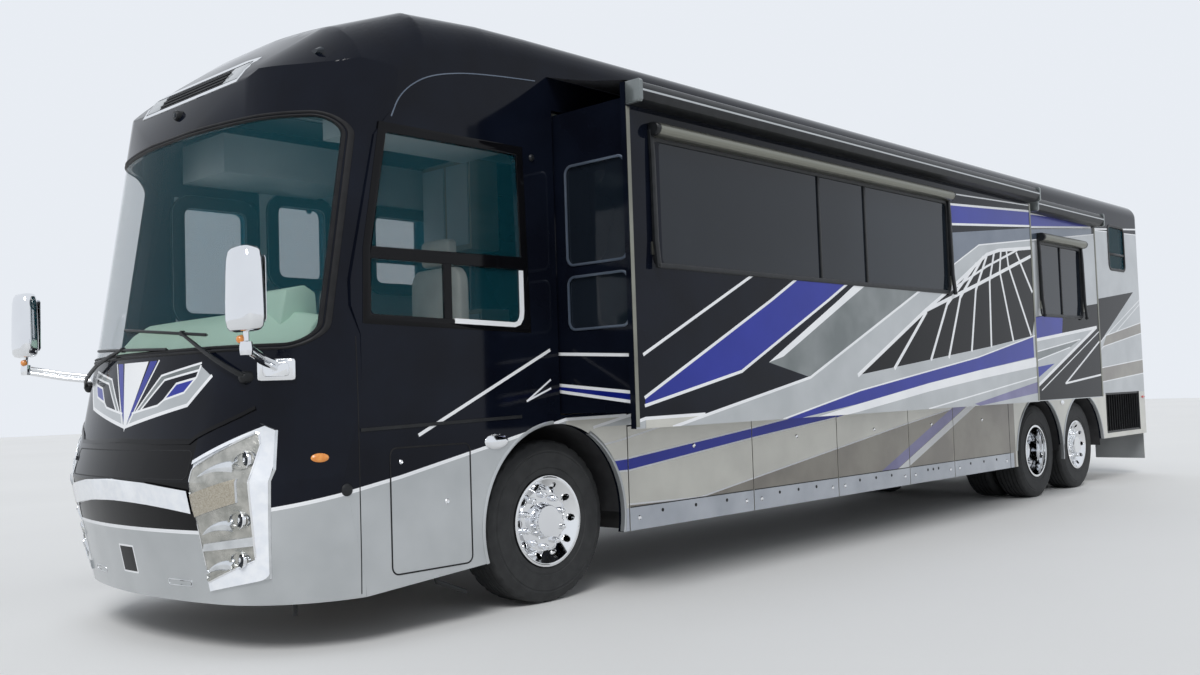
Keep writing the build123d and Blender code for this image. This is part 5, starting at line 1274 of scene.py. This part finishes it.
def cushion(rows, x0, x1, y0, y1, z0, z1, axis, crown=0.02):
    """Crowned cushion with rolled edges and sewn channels across it; axis is the way it faces."""
    low, high = Vector((x0, y0, z0)), Vector((x1, y1, z1))
    a, b = [i for i in range(3) if i != axis]
    rings = []
    for k in range(9):
        level = -1 + 2 * k / 8
        pull = (1 - abs(level) ** 4) ** 0.25
        ring = []
        for s, r in rounded(-1, 1, -1, 1, 0.35, 5):
            p = (low + high) / 2
            p[a] += (high[a] - low[a]) / 2 * s * (0.90 + 0.10 * pull)
            p[b] += (high[b] - low[b]) / 2 * r * (0.90 + 0.10 * pull)
            p[axis] += (high[axis] - low[axis]) / 2 * level
            ring.append(p)
        rings.append(ring)
    points, faces = loft(rings, (True, False))
    top = rings[-1]
    centre = sum(top, Vector()) / len(top)
    inner = []
    for share in (0.85, 0.6, 0.3):
        ring = []
        for p in top:
            q = centre.lerp(p, share)
            channel = abs(sin(rows * pi * (q[b] - low[b]) / (high[b] - low[b])))
            q[axis] += crown * (1 - share ** 2) * (0.55 + 0.45 * channel)
            ring.append(q)
        inner.append(ring)
    more, more_faces = loft([top] + inner, (False, True))
    return points + more, faces + [tuple(i + len(points) for i in f) for f in more_faces]


def seat_frame_forms(y):
    """Column and arm rests of a chair."""
    column = ((0.13, 1.2), (0.13, 1.22), (0.08, 1.25), (0.08, 1.39), (0.16, 1.41), (0.16, 1.426),
        (0.0, 1.426))
    yield "trim", lathe(column, Vector((AXLE + 0.65, y, 0)), (0, 0, 1), 32)
    section = rounded(-0.025, 0.025, -0.02, 0.025, 0.015, 3)
    for side in (-1, 1):
        arm_y = y + side * (SEAT_HALF + 0.02)
        yield "leather", loft([[Vector((AXLE + x, arm_y + s, 1.72 + r)) for s, r in section]
            for x in (0.42, 0.44, 0.78, 0.80)])


def seats():
    for hand, y in SEATS:
        base = cushion(3, SEAT_REAR + 0.02, SEAT_FRONT, y - SEAT_HALF, y + SEAT_HALF, SEAT_LOW,
            SEAT_HIGH - 0.02, 2)
        back = cushion(4, AXLE + 0.34, AXLE + 0.44, y - SEAT_HALF + 0.01, y + SEAT_HALF - 0.01,
            SEAT_HIGH - 0.06, BACK_HIGH, 0)
        rest = cushion(1, AXLE + 0.345, AXLE + 0.43, y - 0.145, y + 0.145, BACK_HIGH + 0.01,
            BACK_HIGH + 0.188, 0, 0.012)
        for part, form in (("base", base), ("back", back), ("rest", rest)):
            replaced = ("seats",) if (part, hand) == ("base", "driver") else ()
            piece = assemble(f"seat_{part}_{hand}", "coach", [("leather", form)], 60,
                replaced=replaced)
            smooth = piece.modifiers.new("round", "SUBSURF")
            smooth.levels = smooth.render_levels = 1
        assemble(f"seat_frame_{hand}", "coach", seat_frame_forms(y), 40)


def cabin_forms():
    """What shows through the cab's glass: cupboards, linings, ceiling, its lamp and the far windows."""
    for y0, y1, z0, z1 in ((-1.17, -0.45, 1.20, 2.05), (-1.17, -0.55, 2.55, 3.30)):
        yield "wood", bar((AXLE - 1.2, y0, z0), (AXLE - 0.9, y1, z1))
        for k in range(2):
            door = (y0 + 0.02 + k * (y1 - y0) / 2, y0 - 0.02 + (k + 1) * (y1 - y0) / 2)
            yield "cabin", bar((AXLE - 0.9, door[0], z0 + 0.04), (AXLE - 0.885, door[1], z1 - 0.04))
    yield "cabin", bar((AXLE + 0.15, 0.60, 2.93), (AXLE + 1.25, 1.19, 3.20))
    yield "cabin", bar((AXLE + 0.15, -1.19, 2.93), (AXLE + 1.25, -0.60, 3.20))
    inner_y = 0.054 - SIDE_Y
    for x0, x1, z0, z1 in ((-1.18, 0.62, 1.25, 2.27), (-1.18, 0.62, 2.89, 3.30), (0.51, 0.62, 2.27, 2.89),
            (-0.39, 0.03, 2.27, 2.89)):
        yield "cabin", bar(at(x0, inner_y - 0.002, z0), at(x1, inner_y + 0.004, z1))
    yield "cabin", bar(at(0.02, -1.15, 3.400), at(1.20, 1.15, 3.408))
    yield "led", bar(at(0.15, -0.66, 3.392), at(1.15, -0.60, 3.400))

    def put(p, height):
        return at(p[0], inner_y + height, p[1])

    frame_rows = [(-0.005, 0), (-0.005, 0.03), (0.09, 0.03), (0.09, 0)]
    for x0, x1, z0, z1 in ((0.06, 0.48, 2.30, 2.86), (-1.20, -0.42, 2.30, 2.86), (0.745, 1.24, 2.0, 2.77)):
        surround = rounded(x0, x1, z0, z1, 0.06)
        yield "trim", border(surround, frame_rows, put)
        yield "tint", loft([[put(p, height) for p in surround] for height in (0.010, 0.012)])


def dashboard_forms():
    """Cover over the dashboard and the hood over its instruments."""
    cover = ((1.52, 1.50), (1.55, 1.80), (1.62, 1.87), (1.74, 1.87), (1.86, 1.80), (2.00, 1.66),
        (2.00, 1.50))
    stations = ((-1.10, 0.45, 0.85), (-0.75, 0.9, 1), (-0.3, 1, 1), (0.3, 1, 1), (0.75, 0.9, 1),
        (1.10, 0.45, 0.85))
    yield "dash", loft([[Vector((AXLE + 1.52 + (x - 1.52) * k, y, 1.50 + (z - 1.50) * h)) for x, z in cover]
        for y, k, h in stations])
    hood = ((1.50, 1.60), (1.53, 1.96), (1.60, 2.00), (1.72, 1.97), (1.80, 1.60))
    yield "dash", loft([[Vector((AXLE + x, y, z)) for x, z in hood] for y in (0.32, 0.38, 0.86, 0.92)])


def cabin():
    assemble("cabin_cupboards", "coach", cabin_forms(), bevel=0.008)
    assemble("dashboard_top", "coach", dashboard_forms(), bevel=0.012)


# Roof: places of its units and vents, heights of the units' lowest slat and of the roof's top
UNITS = (-1.7, -5.2, -8.8)
VENTS = ((-3.2, 0.45), (-6.9, -0.45), (-10.4, 0.4))
SLATS, SLAT_Z, SLAT_STEP = 7, 3.70 + 0.045, 0.018
ROOF_TOP_Z = 3.685


def roof_forms():
    """Slats at both ends of each roof unit, and the vents."""
    for x in UNITS:
        for k in range(SLATS):
            z = SLAT_Z + SLAT_STEP * k
            yield "trim", bar(at(x - 0.484 + 0.003 * k, -0.22, z),
                at(x - 0.470 + 0.004 * k, 0.22, z + 0.008))
            yield "trim", bar(at(x + 0.470 - 0.004 * k, -0.22, z),
                at(x + 0.484 - 0.003 * k, 0.22, z + 0.008))
    levels = (0, 0.22), (0.04, 0.22), (0.05, 0.20), (0.11, 0.19), (0.125, 0.16)
    for x, y in VENTS:
        base = at(x, y, ROOF_TOP_Z)
        yield "roof", loft([[base + Vector((a, b, z)) for a, b in rounded(-w, w, -w, w, 0.05)]
            for z, w in levels])


def roof_details():
    assemble("roof_fittings", "coach", roof_forms())


# Studio: the sky's strength as a light and as the camera sees it, the sun's strength and spread
FLOOR_TONE = (0.80, 0.80, 0.79)
FLOOR_HALF = 60
SKY_LIGHT, SKY_SEEN = 0.55, 0.90
SUN_LIGHT, SUN_SPREAD = 1.6, 25


def studio():
    mesh = bpy.data.meshes.new("floor")
    mesh.from_pydata([(sx * FLOOR_HALF, sy * FLOOR_HALF, 0)
        for sx, sy in ((-1, -1), (1, -1), (1, 1), (-1, 1))], [], [(0, 1, 2, 3)])
    floor = bpy.data.objects.new("floor", mesh)
    bpy.context.scene.collection.objects.link(floor)
    mesh.materials.append(material("floor", FLOOR_TONE, (0.82, 0.82, 0.81), patch=4, rough=0.7, bump=0.05,
        grain=0.02))
    world = bpy.data.worlds.new("studio")
    bpy.context.scene.world = world
    world.use_nodes = True
    nodes, links = world.node_tree.nodes, world.node_tree.links
    back = nodes["Background"]
    path = nodes.new("ShaderNodeLightPath")
    seen = nodes.new("ShaderNodeMath")
    seen.operation = "MAXIMUM"
    links.new(path.outputs["Is Camera Ray"], seen.inputs[0])
    links.new(path.outputs["Is Glossy Ray"], seen.inputs[1])
    through = nodes.new("ShaderNodeMath")
    through.operation = "MAXIMUM"
    links.new(seen.outputs[0], through.inputs[0])
    links.new(path.outputs["Is Transmission Ray"], through.inputs[1])
    level = nodes.new("ShaderNodeMapRange")
    socket(level, "To Min", SKY_LIGHT)
    socket(level, "To Max", SKY_SEEN)
    links.new(through.outputs[0], level.inputs["Value"])
    socket(back, "Color", (0.90, 0.94, 1.0, 1))
    links.new(level.outputs["Result"], back.inputs["Strength"])
    sun = bpy.data.lights.new("key", "SUN")
    sun.energy = SUN_LIGHT
    sun.angle = radians(SUN_SPREAD)
    lamp = bpy.data.objects.new("key", sun)
    lamp.rotation_euler = Vector((1.0, 0.9, 1.5)).to_track_quat("Z", "Y").to_euler()
    bpy.context.scene.collection.objects.link(lamp)
    bpy.context.scene.view_settings.view_transform = "Standard"


set_camera()
finish_nodes()
paint_body()
for make in (wheels, front_details, mirrors, fixed_windows, slide_windows, awnings, arch_lips, door_details,
        side_lamps, rear_details, seats, cabin, roof_details):
    make()
for name in ("front_left", "rear_left", "right"):
    fabric_over(name)
studio()
